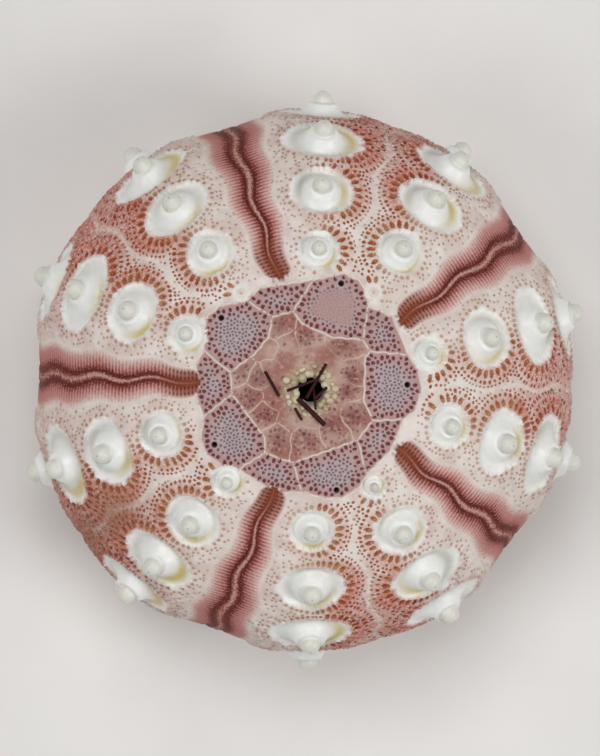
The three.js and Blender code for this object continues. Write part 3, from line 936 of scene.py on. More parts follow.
class Finisher:
    """Makes the node materials from the finishes."""

    BUMP_DISTANCE = 0.06 * MM

    def __init__(self) -> None:
        """Builds the grain that the materials share."""
        self.grain = chalk_grain_group()

    def start(self, name: str, grain_scale: float) -> tuple[Material, Graph, Node, Node]:
        """Starts a material with the shared grain in it.

        Args:
            name: The material's name.
            grain_scale: How fine the grain is on it.

        Returns:
            The material, its graph, its Principled shader and the grain.
        """
        material = bpy.data.materials.new(name)
        material.use_nodes = True
        graph = Graph(material.node_tree)
        grain = graph.node("ShaderNodeGroup")
        grain.node_tree = self.grain
        graph.join(graph.places(), grain.inputs["Place"])
        grain.inputs["Scale"].default_value = grain_scale
        return material, graph, material.node_tree.nodes["Principled BSDF"], grain

    def bump(self, graph: Graph, shader: Node, height: Socket, strength: float) -> None:
        """Feeds a shader's normal from a height.

        Args:
            graph: The material's graph.
            shader: Its shader.
            height: The height.
            strength: How strongly it acts.
        """
        node = graph.node("ShaderNodeBump")
        node.inputs["Strength"].default_value = strength
        node.inputs["Distance"].default_value = self.BUMP_DISTANCE
        graph.join(height, node.inputs["Height"])
        graph.join(node.outputs["Normal"], shader.inputs["Normal"])

    def band_colour(self, graph: Graph, finish: ShellFinish) -> Socket:
        """Works out the colour across a band: line, strip, groove, comb of teeth and pale edge.

        Args:
            graph: The shell's graph.
            finish: Its colours.

        Returns:
            The colour.
        """
        shift = finish.granule_shift
        granules = graph.spread(graph.noise(graph.places(), finish.granule_scale), -shift, shift)
        across = graph.add(graph.mask(Mask.ACROSS), granules)
        tooth = graph.ease(graph.mask(Mask.TOOTH), 0.25, 0.75)
        gaps = graph.ramp(across, finish.band_inside + finish.band_gap)
        teeth = graph.ramp(across, finish.band_inside + finish.band_tooth)
        colour = graph.mix(tooth, gaps, teeth)
        spread = graph.times(graph.ease(across, 0.35, 0.6), graph.ease(across, 1.02, 0.68))
        outer = graph.times(graph.mask(Mask.BLUSH), spread)
        colour = graph.tint(graph.times(outer, 0.75), colour, finish.band_blush)
        colour = graph.tint(graph.mask(Mask.WARM), colour, finish.band_tip)
        return graph.tint(graph.mask(Mask.DOT), colour, finish.band_dot)

    def top_colour(self, graph: Graph, finish: ShellFinish, patch: Socket, ground: Socket) -> Socket:
        """Lays the top plates and the skin round the vent over the ground.

        Args:
            graph: The shell's graph.
            finish: Its colours.
            patch: The grain's patches.
            ground: The ground's colour.

        Returns:
            The colour.
        """
        blush = graph.mask(Mask.BLUSH)
        plate = graph.mix(blush, linear(finish.lilac), linear(finish.plate_edge))
        fleck = graph.ease(graph.noise(graph.places(), finish.fleck_scale), 0.54, 0.68)
        skin = graph.mix(patch, linear(finish.russet), linear(finish.rust))
        skin = graph.tint(graph.times(graph.mask(Mask.DOT), finish.star_share), skin, finish.plum)
        paler = graph.add(blush, graph.times(fleck, finish.fleck_share))
        skin = graph.tint(paler, skin, finish.tan)
        colour = graph.mix(graph.mask(Mask.CROWN), ground, plate)
        return graph.mix(graph.mask(Mask.VAULT), colour, skin)

    def pit_colour(self, graph: Graph, finish: ShellFinish) -> Socket:
        """Works out the colour in the pits: red to tan on the ground, slate to plum on the top.

        Args:
            graph: The shell's graph.
            finish: Its colours.

        Returns:
            The colour.
        """
        warm = graph.mask(Mask.WARM)
        ground = graph.ramp(warm, finish.pits)
        plate = graph.mix(warm, linear(finish.slate), linear(finish.plum))
        top = graph.add(graph.mask(Mask.CROWN), graph.mask(Mask.VAULT))
        return graph.mix(top, ground, plate)

    def shell(self, finish: ShellFinish) -> Material:
        """Makes the shell's material.

        Args:
            finish: Its colours and polish.

        Returns:
            The material, which reads the skin's masks.
        """
        material, graph, shader, grain = self.start("shell", finish.grain_scale)
        mask = {entry: graph.mask(entry) for entry in Mask}
        patch = grain.outputs["Patch"]
        gaps = graph.ease(graph.cells(graph.places(), finish.cell_scale), 0.2, 0.6)
        mottle = graph.times(graph.spread(patch, 0.88, 1.1), graph.spread(gaps, 0.5, 1.08))
        chalk = graph.mix(patch, linear(finish.chalk), linear(finish.chalk_shade))
        colour = graph.tint(graph.times(mask[Mask.BLUSH], mottle), chalk, finish.rose)
        colour = self.top_colour(graph, finish, patch, colour)
        pit = graph.times(graph.ease(mask[Mask.PIT], 0.25, 0.9), mask[Mask.TONE])
        colour = graph.mix(pit, colour, self.pit_colour(graph, finish))
        colour = graph.tint(mask[Mask.SOIL], colour, finish.soil)
        colour = graph.mix(mask[Mask.BAND], colour, self.band_colour(graph, finish))
        # olive and yellow are painted shade round the knobs; the hole colour is painted shade in
        # holes and at the vent's edge
        for entry, other in (
            (Mask.SEAM, finish.cream),
            (Mask.BONE, finish.bone),
            (Mask.OLIVE_SHADE, finish.shade_olive),
            (Mask.YELLOW_SHADE, finish.shade_yellow),
            (Mask.BALL, finish.ball),
            (Mask.INSIDE, finish.lining),
            (Mask.PORE_SHADE, finish.hole_shade),
        ):
            colour = graph.tint(mask[entry], colour, other)
        colour = graph.mix(finish.grain_share, colour, grain.outputs["Shade"], "MULTIPLY")
        graph.join(colour, shader.inputs["Base Color"])
        worn = graph.add(mask[Mask.BONE], mask[Mask.BALL])
        rough = graph.spread(worn, finish.roughness, finish.polish)
        graph.join(rough, shader.inputs["Roughness"])
        graph.join(graph.spread(worn, 0.0, finish.bone_gloss), shader.inputs["Coat Weight"])
        shader.inputs["Coat Roughness"].default_value = finish.polish
        shader.inputs["Specular IOR Level"].default_value = finish.shine
        self.bump(graph, shader, grain.outputs["Height"], finish.bump_strength)
        return material

    def plain(self, finish: PlainFinish) -> Material:
        """Makes a material of two colours.

        Args:
            finish: Its name, colours, roughness, grain and bump.

        Returns:
            The material.
        """
        material, graph, shader, grain = self.start(finish.name, finish.grain_scale)
        share = graph.attribute(finish.mask) if finish.mask else grain.outputs["Patch"]
        colour = graph.mix(share, linear(finish.colours[0]), linear(finish.colours[1]))
        colour = graph.mix(finish.grain_share, colour, grain.outputs["Shade"], "MULTIPLY")
        graph.join(colour, shader.inputs["Base Color"])
        shader.inputs["Roughness"].default_value = finish.roughness
        shader.inputs["Specular IOR Level"].default_value = finish.shine
        self.bump(graph, shader, grain.outputs["Height"], finish.bump_strength)
        return material


def joined_flat(flat: Array, edges: list[tuple[int, int]]) -> Array:
    """Joins points of a flat map into triangles.

    Args:
        flat: The points.
        edges: Pairs of points that have to be joined.

    Returns:
        The corners of each triangle, anticlockwise.
    """
    result = delaunay_2d_cdt([Vector(point) for point in flat.tolist()], edges, [], 0, 1e-9)
    source = [sources[0] for sources in result[3]]
    return np.array([[source[corner] for corner in face] for face in result[2]])


def edge_gap(x: Array, y: Array, corners: Array) -> tuple[Array, Array]:
    """How far places lie inside a closed outline.

    Args:
        x: Places across.
        y: Places up.
        corners: The outline's corners, a row each.

    Returns:
        Distances to the nearest side, below 0 outside, and the angles across that side.
    """
    gap = np.full(x.shape, 1e9)
    heading = np.zeros(x.shape)
    inside = np.zeros(x.shape, bool)
    for (ax, ay), (bx, by) in zip(corners, np.roll(corners, -1, axis=0)):
        along = (x - ax) * (bx - ax) + (y - ay) * (by - ay)
        along = np.clip(along / ((bx - ax) ** 2 + (by - ay) ** 2), 0.0, 1.0)
        far = np.hypot(x - (ax + along * (bx - ax)), y - (ay + along * (by - ay)))
        closer = far < gap
        gap = np.where(closer, far, gap)
        heading = np.where(closer, np.arctan2(by - ay, bx - ax) + math.pi / 2, heading)
        if ay != by:
            inside ^= ((ay > y) != (by > y)) & (x < (bx - ax) * (y - ay) / (by - ay) + ax)
    return np.where(inside, gap, -gap), heading


def plan_gaps(x: Array, y: Array, seeds: Array) -> Array:
    """Distances in plan from places to seeds; a column a seed."""
    return np.hypot(x[:, None] - seeds[:, 0], y[:, None] - seeds[:, 1])


class Ground(NamedTuple):
    """A kind of ground that pits lie in: what gives its masks and its height at places."""

    masks: Callable[[Places], Masks]
    lift: Callable[[Places], Array]


@dataclass
class ShellSkin:
    """The whole skin of the shell, outside and inside, as one closed mesh."""

    globe: Globe
    knobs: Knobs
    bands: Bands
    sutures: Sutures
    rng: np.random.Generator
    detail_arc: float = 34.0
    vent_radius: float = 1.2
    vent_points: int = 40
    mouth_points: int = 150
    mouth_margin: float = 0.4
    top_arc: float = 10.6
    swell: float = 0.18
    crease: float = 0.14
    crease_reach: float = 0.4
    rough_height: float = 0.24
    rough_arcs: Span = (19.0, 28.0)
    rim_lift: float = 0.03
    hollow_depth: float = 0.3
    hollow_rings: tuple[Span, ...] = ((1.0, 0.2), (0.74, 0.17), (0.5, 0.15), (0.26, 0.13))
    hollow_steps: Span = (0.36, 0.6)
    rag: float = 0.05
    rag_waves: int = 12
    shelf_share: float = 1.4
    shelf_height: float = 0.28
    ball_sunk: float = 0.35
    boss_stretch: float = 0.3
    standing_depth: float = 0.65
    bud_size: float = 0.6
    young_size: float = 0.8
    # Where the painted shade round each knob falls in plan, and how wide it spreads.
    yellow_shade_turn: float = -35.0
    yellow_shade_spread: float = 43.0
    olive_shade_turn: float = 155.0
    olive_shade_spread: float = 55.0
    inner_step: float = 1.7
    left_blush: float = 0.16
    blush_turn: float = 185.0
    seam_arcs: tuple[float, ...] = (14.0, 18.0, 25.0, 31.0)
    seam_widths: tuple[float, ...] = (0.28, 0.26, 0.18, 0.12)
    pit_free_widths: tuple[float, ...] = (0.1, 0.09, 0.06, 0.02)
    soiled: tuple[tuple[float, float, float], ...] = ((-17.6, -12.0, 2.8), (-20.4, -14.2, 2.2))
    soil_strength: float = 0.75
    band_stops: tuple[float, ...] = (0.0, 0.08, 0.17, 0.25, 0.3, 0.36, 0.5, 0.7, 1.0)
    band_lifts: tuple[float, ...] = (
        -0.12, -0.11, -0.16, -0.34, -0.27, -0.18, -0.12, -0.07, 0.0,
    )
    band_rows: Span = (0.185, 0.37)
    band_room: float = 0.09
    dark_share: float = 0.25
    main_lines: tuple[float, ...] = (0.25, 0.5, 0.36, 0.7, 1.0, 0.17)
    fine_lines: tuple[float, ...] = (0.08, 0.3, 0.43, 0.6, 0.85, 0.21)
    plates: tuple[Plan, ...] = (
        (
            (5.6, 3.0), (9.1, 2.7), (10.1, 1.2), (10.4, -0.5), (9.8, -2.5), (8.7, -3.3),
            (5.8, -3.4), (5.0, -1.6), (5.1, 2.5),
        ),
        ((4.9, 4.1), (5.4, 7.2), (7.7, 6.2), (9.1, 2.7), (5.6, 3.0)),
        (
            (-1.6, 6.7), (0.3, 9.6), (3.1, 10.2), (4.5, 9.6), (5.4, 8.2), (5.4, 7.2),
            (4.9, 4.1), (2.1, 4.3), (-0.8, 5.6),
        ),
        ((-3.5, 6.2), (-5.8, 7.7), (-4.6, 8.9), (0.3, 9.6), (-1.6, 6.7)),
        (
            (-7.4, 1.1), (-9.8, 3.1), (-9.8, 5.0), (-9.4, 6.3), (-8.3, 7.2), (-5.8, 7.7),
            (-3.5, 6.2), (-3.8, 4.4), (-5.1, 2.8),
        ),
        ((-7.2, -0.9), (-9.8, -3.0), (-10.5, -1.3), (-10.5, 1.8), (-9.8, 3.1), (-7.4, 1.1)),
        (
            (-4.2, -6.4), (-6.6, -7.9), (-8.2, -7.5), (-9.5, -6.6), (-10.1, -5.2), (-9.8, -3.0),
            (-7.2, -0.9), (-4.2, -4.9),
        ),
        ((-1.6, -7.3), (-0.7, -10.0), (-3.1, -10.1), (-6.6, -7.9), (-4.2, -6.4)),
        (
            (4.4, -5.2), (5.3, -8.4), (4.5, -9.7), (3.0, -10.6), (1.4, -10.6), (-0.7, -10.0),
            (-1.6, -7.3),
        ),
        ((5.8, -3.4), (8.7, -3.3), (7.5, -6.2), (5.3, -8.4), (4.4, -5.2)),
    )
    sieve_plate: int = 2
    plate_holes: Plan = (
        (2.93, 9.31), (-8.2, 6.12), (9.07, -0.09), (-8.84, -5.64), (2.5, -9.88),
    )
    plate_lift: float = -0.03
    plate_pit_tries: int = 9000
    vault_outline: Plan = (
        (5.6, 3.0), (4.9, 4.1), (2.1, 4.3), (-0.8, 5.6), (-1.6, 6.7), (-3.5, 6.2), (-3.8, 4.4),
        (-5.1, 2.8), (-7.4, 1.1), (-7.2, -0.9), (-4.2, -4.9), (-4.2, -6.4), (-1.6, -7.3),
        (4.4, -5.2), (5.8, -3.4), (5.0, -1.6), (5.1, 2.5),
    )
    vault_step: float = 0.26
    vault_pit_tries: int = 2600
    pitted_seeds: int = 13
    vault_seeds: Plan = (
        (-2.85, 5.1), (-0.4, 4.18), (3.03, 3.52), (3.7, 0.9), (3.3, -0.75), (3.93, -2.69),
        (2.05, -3.83), (-0.5, -5.0), (-3.01, -4.89), (-4.24, -2.85), (-5.6, -1.2), (-6.3, 1.2),
        (-4.9, 0.6), (-3.99, 3.3), (-2.03, 3.85), (-2.3, 2.4), (-0.07, 2.7), (1.7, 1.9),
        (1.95, 0.2), (1.8, -1.9), (0.1, -3.0), (-1.8, -3.2), (-3.2, -1.2), (-3.5, 1.3),
    )
    loose_pit_tries: int = 30000
    spots: Spots = field(init=False)
    shade_aims: Array = field(init=False)
    shade_strengths: Array = field(init=False)
    rag_phases: Array = field(init=False)

    def __post_init__(self) -> None:
        """Starts with no points."""
        self.spots = Spots(self.globe)

    def relief(self, at: Places) -> Array:
        """The gentle lift of the ground between the features."""
        swell = self.swell * smooth(0.95, 1.7, self.bands.across(at))
        crease = self.crease * bell(self.sutures.offset(at)[0], self.crease_reach)
        return (swell - crease) * smooth(self.top_arc - 0.6, self.top_arc + 1.6, at.arc)

    def ground_masks(self, at: Places) -> Masks:
        """The blush of the ground, the cream of the zigzag sutures and the soil.

        Args:
            at: The places.

        Returns:
            The three masks.
        """
        gap, from_middle = self.sutures.offset(at)
        inward = smooth(14.0, 5.0, np.abs(from_middle))
        blush = 0.03 + 0.48 * self.knobs.in_field(at) * (0.4 + 0.6 * smooth(12.0, 15.0, at.arc))
        blush = blush + 0.72 * inward * smooth(15.0, 25.0, at.arc)
        blush = blush + 0.16 * (1 - inward) * smooth(21.0, 32.0, at.arc)
        blush = blush * (1 + self.left_blush * np.cos(np.radians(at.turn - self.blush_turn)))
        width = np.interp(at.arc, self.seam_arcs, self.seam_widths)
        strength = np.interp(at.arc, [12.0, 15.0, 26.0, 34.0], [0.0, 0.8, 0.75, 0.3])
        soil = self.soil(at)
        return {
            Mask.BLUSH: np.minimum(blush, 0.95),
            Mask.SEAM: strength * bell(gap, width) * (1 - soil),
            Mask.SOIL: soil,
        }

    def soil(self, at: Places) -> Array:
        """How soiled the ground is, by patches on the upper half given in plan."""
        x, y = self.globe.plan_of(at)
        patches = [bell(np.hypot(x - px, y - py), reach) for px, py, reach in self.soiled]
        return self.soil_strength * np.max(patches, axis=0) * (at.arc < self.detail_arc + 2)

    def rough(self, at: Places) -> Array:
        """The small granules that make the ground rough towards the equator and below."""
        draw = self.rng.random(at.arc.shape)
        return self.rough_height * draw**1.3 * smooth(*self.rough_arcs, at.arc)

    def open_ground(self, at: Places, margin: float) -> Array:
        """Which places are clear of hollows, bands, top plates and the mouth's edge."""
        clear = (self.knobs.share(at).min(axis=1) > margin) & (self.bands.across(at) > 1.03)
        return clear & ~self.on_top(at) & (at.arc < self.globe.mouth_arc - self.mouth_margin)

    def plate_gaps(self, at: Places) -> Array:
        """How far places lie inside each of the top plates; a row a plate."""
        x, y = self.globe.plan_of(at)
        return np.array([edge_gap(x, y, np.array(corners))[0] for corners in self.plates])

    def vault_gap(self, at: Places) -> Array:
        """How far places lie inside the skin round the vent."""
        return edge_gap(*self.globe.plan_of(at), np.array(self.vault_outline))[0]

    def on_top(self, at: Places, margin: float = 0.12) -> Array:
        """Which places lie on the rosette of plates, inside it or within a margin of it."""
        inside = (self.plate_gaps(at).max(axis=0) > -margin) | (self.vault_gap(at) > 0)
        return (inside | (self.globe.radius(at.arc) < 5.0)) & (at.arc < 13)

    def off_vent(self, x: Array, y: Array) -> Array:
        """How far places in plan lie off the vent's edge."""
        return np.hypot(x, y - self.globe.vent_y) - self.vent_radius

    def vent_edge(self) -> Places:
        """The places of the vent's edge, which is slightly oval."""
        angle = round_angles(self.vent_points)
        reach = self.vent_radius * (1 + 0.05 * np.cos(2 * angle + 0.6))
        x, y = reach * np.cos(angle), self.globe.vent_y + reach * np.sin(angle)
        return self.globe.at_plan(x, y)

    def mouth_edge(self) -> Places:
        """The places of the mouth's edge."""
        turn = 360.0 * np.arange(self.mouth_points) / self.mouth_points
        return Places(np.full(self.mouth_points, self.globe.mouth_arc), turn)

    def add_openings(self) -> None:
        """Adds the edge of the vent, then the edge of the mouth."""
        # The vent's edge is painted half dark, as painted shade.
        self.spots.add(self.vent_edge(), 0.0, 0.0, {Mask.VAULT: 0.6, Mask.PORE_SHADE: 0.5})
        self.spots.add(self.mouth_edge(), 0.0, 0.0, {Mask.BLUSH: 0.3})

    def painted_shade_of(self, knob: int, at: Places) -> tuple[Array, Array]:
        """How much painted shade places round a knob get, by their direction in plan: yellow on one
        side, olive round the foot and on the other side.

        Args:
            knob: The knob's number.
            at: The places.

        Returns:
            The yellow and the olive painted shade, from 0 to about 1.
        """
        gap = self.globe.ground(at)[0] - self.globe.ground(self.knobs.middle(knob))[0]
        direction = np.degrees(np.arctan2(gap[:, 1], gap[:, 0]))
        aim = self.yellow_shade_turn + self.shade_aims[knob]
        yellow_shade = bell(signed_turn(direction - aim), self.yellow_shade_spread)
        behind = bell(signed_turn(direction - aim - self.olive_shade_turn), self.olive_shade_spread)
        strength = self.shade_strengths[knob]
        return np.minimum(strength * yellow_shade, 0.95), (1.4 - strength) * (0.2 + 0.5 * behind)

    def standing(self, knob: int) -> float:
        """How far a knob's boss stands out of its hollow, which is most round the equator."""
        arc = self.knobs.arc[knob]
        return float(smooth(20.0, 27.0, arc) * smooth(46.0, 40.0, arc))

    def sunk(self, knob: int) -> float:
        """How deep a knob's hollow is, which is least where the boss stands out."""
        return self.hollow_depth * (1 - self.standing_depth * self.standing(knob))

    def is_fine(self, knob: int) -> bool:
        """Whether a knob stands high enough to be seen closely."""
        return self.knobs.arc[knob] < self.detail_arc

    def is_bud(self, knob: int) -> bool:
        """Whether a knob has barely begun."""
        return self.knobs.size[knob] < self.bud_size

    def ragged(self, knob: int, angle: Array) -> Array:
        """How far a hollow's white stops short of its rim, or passes it, round a knob."""
        waves = np.arange(2, 2 + self.rag_waves)
        return self.rag * np.sin(angle[:, None] * waves + self.rag_phases[knob]).sum(axis=1)

    def hollow_ring(self, knob: int, share: float) -> tuple[Places, Array]:
        """Lays out one ring of the bowl round a knob, clear of bands and of other bowls.

        Args:
            knob: The knob's number.
            share: How far out the ring is, 1 at the rim.

        Returns:
            Its places, and their angles round the knob.
        """
        knobs = self.knobs
        boss = knobs.boss[knob]
        wide_boss = boss * (1 + self.boss_stretch * self.standing(knob))
        across = wide_boss + (knobs.across[knob] - wide_boss) * share
        along = boss + (knobs.along[knob] - boss) * share
        step = self.hollow_steps[0] if self.is_fine(knob) else self.hollow_steps[1]
        count = int(round(math.pi * (across + along) / step))
        angle = FULL_TURN * (np.arange(count) + 0.5 * (share > 0.6)) / count
        at = knobs.beside(knob, np.cos(angle) * across, np.sin(angle) * along)
        others = np.delete(knobs.share(at), knob, axis=1).min(axis=1)
        free = (others > 1.0) & (self.bands.across(at) > 1.0)
        free &= at.arc < self.globe.mouth_arc - self.mouth_margin
        return at.pick(free), angle[free]

    def add_hollow(self, knob: int) -> None:
        """Adds the bowl round a knob's boss, ring by ring from its rim.

        Args:
            knob: The knob's number.
        """
        depth = self.sunk(knob)
        white = 0.4 if self.is_bud(knob) else 1.0
        for share, room in self.hollow_rings:
            at, angle = self.hollow_ring(knob, share)
            rim = self.relief(at) + 0.06 + 0.7 * self.rough(at)
            lift = -depth + (rim + depth) * share**1.8
            ragged = share + self.ragged(knob, angle)
            bone = self.rng.uniform(0.8, 1.2, at.arc.shape) * smooth(1.14, 0.8, ragged)
            # Painted shade in the bowl, strongest next to the boss.
            yellow_shade, olive_shade = self.painted_shade_of(knob, at)
            masks = self.ground_masks(at)
            masks[Mask.BONE] = np.minimum(bone, 1.0) * white
            masks[Mask.YELLOW_SHADE] = yellow_shade * smooth(0.88, 0.15, share)
            masks[Mask.OLIVE_SHADE] = olive_shade * smooth(0.8, 0.2, share)
            masks[Mask.SEAM] = masks[Mask.SEAM] * share
            self.spots.add(at, lift, room, masks)

    def add_standing_ring(
        self,
        knob: int,
        count: int,
        mapped: float,
        radius: float,
        height: float,
        masks: Masks,
        stretch: float = 1.0,
    ) -> None:
        """Adds one ring of a boss or a ball.

        Args:
            knob: The knob's number.
            count: How many points the ring has.
            mapped: The ring's radius in the flat map.
            radius: Its radius in space.
            height: Its height over the globe.
            masks: Its masks.
            stretch: How much wider it is sideways.
        """
        angle = round_angles(count)
        aside = np.cos(angle) * stretch
        at = self.knobs.beside(knob, aside * mapped, np.sin(angle) * mapped)
        centre, normal = self.globe.ground(self.knobs.middle(knob))
        azimuth = math.radians(self.knobs.turn[knob])
        east = np.array([-math.sin(azimuth), math.cos(azimuth), 0.0])
        south = -np.cross(normal[0], east)
        points = centre + aside[:, None] * radius * east
        points = points + np.sin(angle)[:, None] * radius * south + height * normal
        self.spots.place(at, points, masks)

    def add_boss(self, knob: int) -> None:
        """Adds a knob's flared boss and the shelf on it, then the ball.

        Args:
            knob: The knob's number.
        """
        boss = self.knobs.boss[knob]
        ball = self.knobs.ball[knob]
        count = 24 if self.is_fine(knob) else 16
        angle = round_angles(count)
        shelf = min(self.shelf_share * ball, boss * 0.8)
        standing = self.standing(knob)
        top = (self.shelf_height + 0.2 * standing) * boss
        foot = -self.sunk(knob) - (boss**2) / 60
        for share in (0.0, 0.3, 0.6, 0.9):
            radius = boss + (shelf - boss) * share
            climb = 0.3 * share + 0.7 * share ** (1.5 + 0.5 * standing)
            height = foot + (top - foot) * climb
            stretch = 1 + self.boss_stretch * standing * (1 - share) ** 1.5
            at = self.knobs.beside(knob, np.cos(angle) * radius, np.sin(angle) * radius)
            # Painted shade on the boss, strongest at its foot.
            yellow_shade, olive_shade = self.painted_shade_of(knob, at)
            masks: Masks = {
                Mask.BONE: 1.0,
                Mask.YELLOW_SHADE: yellow_shade * 0.9 * (1 - share) ** 3,
                Mask.OLIVE_SHADE: olive_shade * (1 - share) ** 2,
            }
            mapped = boss * (1 - 0.38 * share)
            self.add_standing_ring(knob, count, mapped, radius, height, masks, stretch)
        bone: Masks = {Mask.BONE: 1.0}
        self.add_standing_ring(knob, count, 0.57 * boss, 0.96 * shelf, top + 0.02, bone)
        self.add_standing_ring(knob, count, 0.52 * boss, 1.12 * ball, top - 0.02, bone)
        self.add_ball(knob, count, top)

    def add_ball(self, knob: int, count: int, top: float) -> None:
        """Adds the ball on a knob's shelf, with a dimple in its top that is painted dark as painted
        shade.

        Args:
            knob: The knob's number.
            count: How many points its widest ring has.
            top: The shelf's height.
        """
        boss = self.knobs.boss[knob]
        ball = self.knobs.ball[knob]
        sunk_share = self.ball_sunk - 0.15 * self.standing(knob)
        middle = top + sunk_share * ball
        lowest = 90 + math.degrees(math.asin(sunk_share))
        for turn, reach in zip((lowest, 86, 63, 42, 22, 6), np.linspace(0.47, 0.07, 6)):
            around = math.sin(math.radians(turn)) * ball
            height = middle + math.cos(math.radians(turn)) * ball
            points = max(8, int(count * min(1.0, reach / 0.3)))
            masks: Masks = {Mask.BONE: 1.0, Mask.BALL: 0.35 if turn > 90 else 1.0}
            if self.knobs.size[knob] < self.young_size:
                masks = {Mask.BONE: 0.3, Mask.BALL: 0.25, Mask.BLUSH: 0.5}
            self.add_standing_ring(knob, points, reach * boss, around, height, masks)
        # The dimple's dark is painted shade.
        dimple: Masks = {Mask.BALL: 1.0, Mask.PORE_SHADE: 0.85}
        self.add_standing_ring(knob, 1, 0.0, 0.0, middle + ball - 0.07, dimple)

    def add_bud(self, knob: int) -> None:
        """Adds a knob that has barely begun: a faint pink ring with a dot in it.

        Args:
            knob: The knob's number.
        """
        for radius, height, blush, bone in (
            (0.78, 0.0, 0.05, 0.35),
            (0.55, 0.06, 0.1, 0.4),
            (0.4, 0.02, 0.3, 0.2),
            (0.25, 0.12, 0.25, 0.4),
            (0.1, 0.16, 0.6, 0.0),
        ):
            masks: Masks = {Mask.BONE: bone, Mask.BLUSH: blush}
            self.add_standing_ring(knob, 14 if radius > 0.2 else 6, radius, radius, height, masks)

    def add_knobs(self) -> None:
        """Adds all the knobs, each with its own strength and direction of painted shade, then all
        their hollows.
        """
        count = self.knobs.count()
        self.shade_aims = self.rng.normal(0.0, 28.0, count)
        self.shade_strengths = self.rng.uniform(0.55, 1.15, count)
        self.rag_phases = self.rng.uniform(0.0, FULL_TURN, (count, self.rag_waves))
        for knob in range(count):
            if self.is_bud(knob):
                self.add_bud(knob)
            else:
                self.add_boss(knob)
        for knob in range(count):
            self.add_hollow(knob)

    def band_lift(self, share: Array, tooth: float, arc: float) -> Array:
        """The profile across a band, with its comb of small teeth.

        Args:
            share: How far from the band's middle, 1 at its edge.
            tooth: 1 on a tooth of the comb, 0 in a gap.
            arc: The arc down from the top.

        Returns:
            The heights.
        """
        combed = 0.05 * smooth(0.26, 0.36, share) * smooth(1.04, 0.8, share)
        shallow = np.interp(arc, [20.0, 29.0], [1.0, 0.45])
        lifts = np.interp(share, self.band_stops, self.band_lifts)
        return (lifts + combed * (2 * tooth - 1)) * shallow

    def add_bands(self) -> None:
        """Adds the bands, row by row, every second row on a tooth of the comb."""
        upper = np.arange(self.bands.start + 0.04, self.detail_arc, self.band_rows[0])
        lower = np.arange(self.detail_arc, self.globe.mouth_arc - 0.5, self.band_rows[1])
        coarse = np.array([0.0] + [side * line for line in self.main_lines for side in (-1, 1)])
        added = [side * line for line in self.fine_lines for side in (-1, 1)]
        for band in range(self.globe.sectors):
            for arcs, lines in ((upper, np.concatenate([coarse, added])), (lower, coarse)):
                for row, arc in enumerate(arcs):
                    self.add_band_row(band, float(arc), row % 2, lines)

    def add_band_row(self, band: int, arc: float, odd: int, lines: Array) -> None:
        """Adds one row of points across a band.

        Args:
            band: The band's number.
            arc: The arc of the row.
            odd: 1 on a tooth of the comb, 0 in a gap.
            lines: Where the points lie, from -1 to 1, with the dark lines at a quarter.
        """
        arcs = np.full(lines.shape, arc)
        share = np.abs(lines)
        dark = self.bands.dark_line(arcs)
        outer = dark + (share - self.dark_share) / (1 - self.dark_share) * (1 - dark)
        across = np.where(share < self.dark_share, share / self.dark_share * dark, outer)
        middle = self.bands.middle(np.full(lines.shape, float(band)), arcs)
        turn = middle + np.sign(lines) * across * self.bands.width(arcs)
        inner = share < 0.2
        bead = ((odd + (lines > 0)) % 2) * inner * self.rng.uniform(-0.4, 1.0, lines.shape)
        tip = smooth(self.bands.start + 5.0, self.bands.start + 0.8, arc)
        dots = (1 - odd) * (bell(share - 0.43, 0.07) + bell(share - 0.7, 0.07))
        beaded = share - 0.07 * bead + 0.07 * smooth(20.0, 28.0, arc) * inner
        masks: Masks = {
            Mask.BLUSH: 0.08 + 0.92 * smooth(18.0, 30.0, arc) * smooth(1.0, 0.75, share),
            Mask.BAND: smooth(1.02, 0.9, share),
            Mask.ACROSS: np.maximum(beaded, 0.0),
            Mask.TOOTH: float(odd),
            Mask.WARM: tip * (0.75 + 0.2 * smooth(0.3, 0.1, share)) * smooth(1.06, 0.68, share),
            Mask.DOT: 0.95 * np.minimum(1.6 * tip, 1.0) * dots,
        }
        lift = self.band_lift(share, float(odd), arc) + 0.05 * bead
        self.spots.add(Places(arcs, turn), lift, self.band_room, masks)

    def add_seam(self, start: Array, end: Array) -> None:
        """Adds a raised seam between top plates: its ridge and a foot on either side.

        Args:
            start: One end, in plan about the axis.
            end: The other end.
        """
        length = float(np.hypot(*(end - start)))
        share = np.linspace(0.0, 1.0, max(2, int(round(length / 0.24)) + 1))[:, None]
        along = (end - start) / length
        points = start + share * (end - start)
        aside = np.array([-along[1], along[0]])
        wobble = 0.05 * np.sin(points[:, 0] * 5.1 + points[:, 1] * 3.7)[:, None] * aside
        for side, lift, bright, room in (
            (0.0, 0.09, 0.85, 0.1),
            (-0.13, -0.02, 0.0, 0.09),
            (0.13, -0.02, 0.0, 0.09),
        ):
            at = self.globe.at_plan(*(points + wobble + side * aside).T)
            at = at.pick(self.top_ground(at))
            masks = self.top_masks(at)
            masks[Mask.SEAM] = bright
            self.spots.add(at, lift, room, masks)

    def top_masks(self, at: Places) -> Masks:
        """The masks of whatever ground lies at places on and round the top.

        Args:
            at: The places.

        Returns:
            The masks.
        """
        on_plate = self.plate_gaps(at).max(axis=0) > 0
        on_skin = (self.vault_gap(at) > 0) & ~on_plate
        masks = self.ground_masks(at)
        for chosen, other in ((on_plate, self.crown_masks), (on_skin, self.vault_masks)):
            masks[Mask.BLUSH] = np.where(chosen, other(at)[Mask.BLUSH], masks[Mask.BLUSH])
        masks[Mask.CROWN] = on_plate.astype(float)
        masks[Mask.VAULT] = on_skin.astype(float)
        return masks

    def top_ground(self, at: Places) -> Array:
        """Which places on the top are clear of hollows and bands."""
        clear = self.knobs.share(at).min(axis=1) > 1.03
        return clear & (self.bands.across(at) > 1.05)

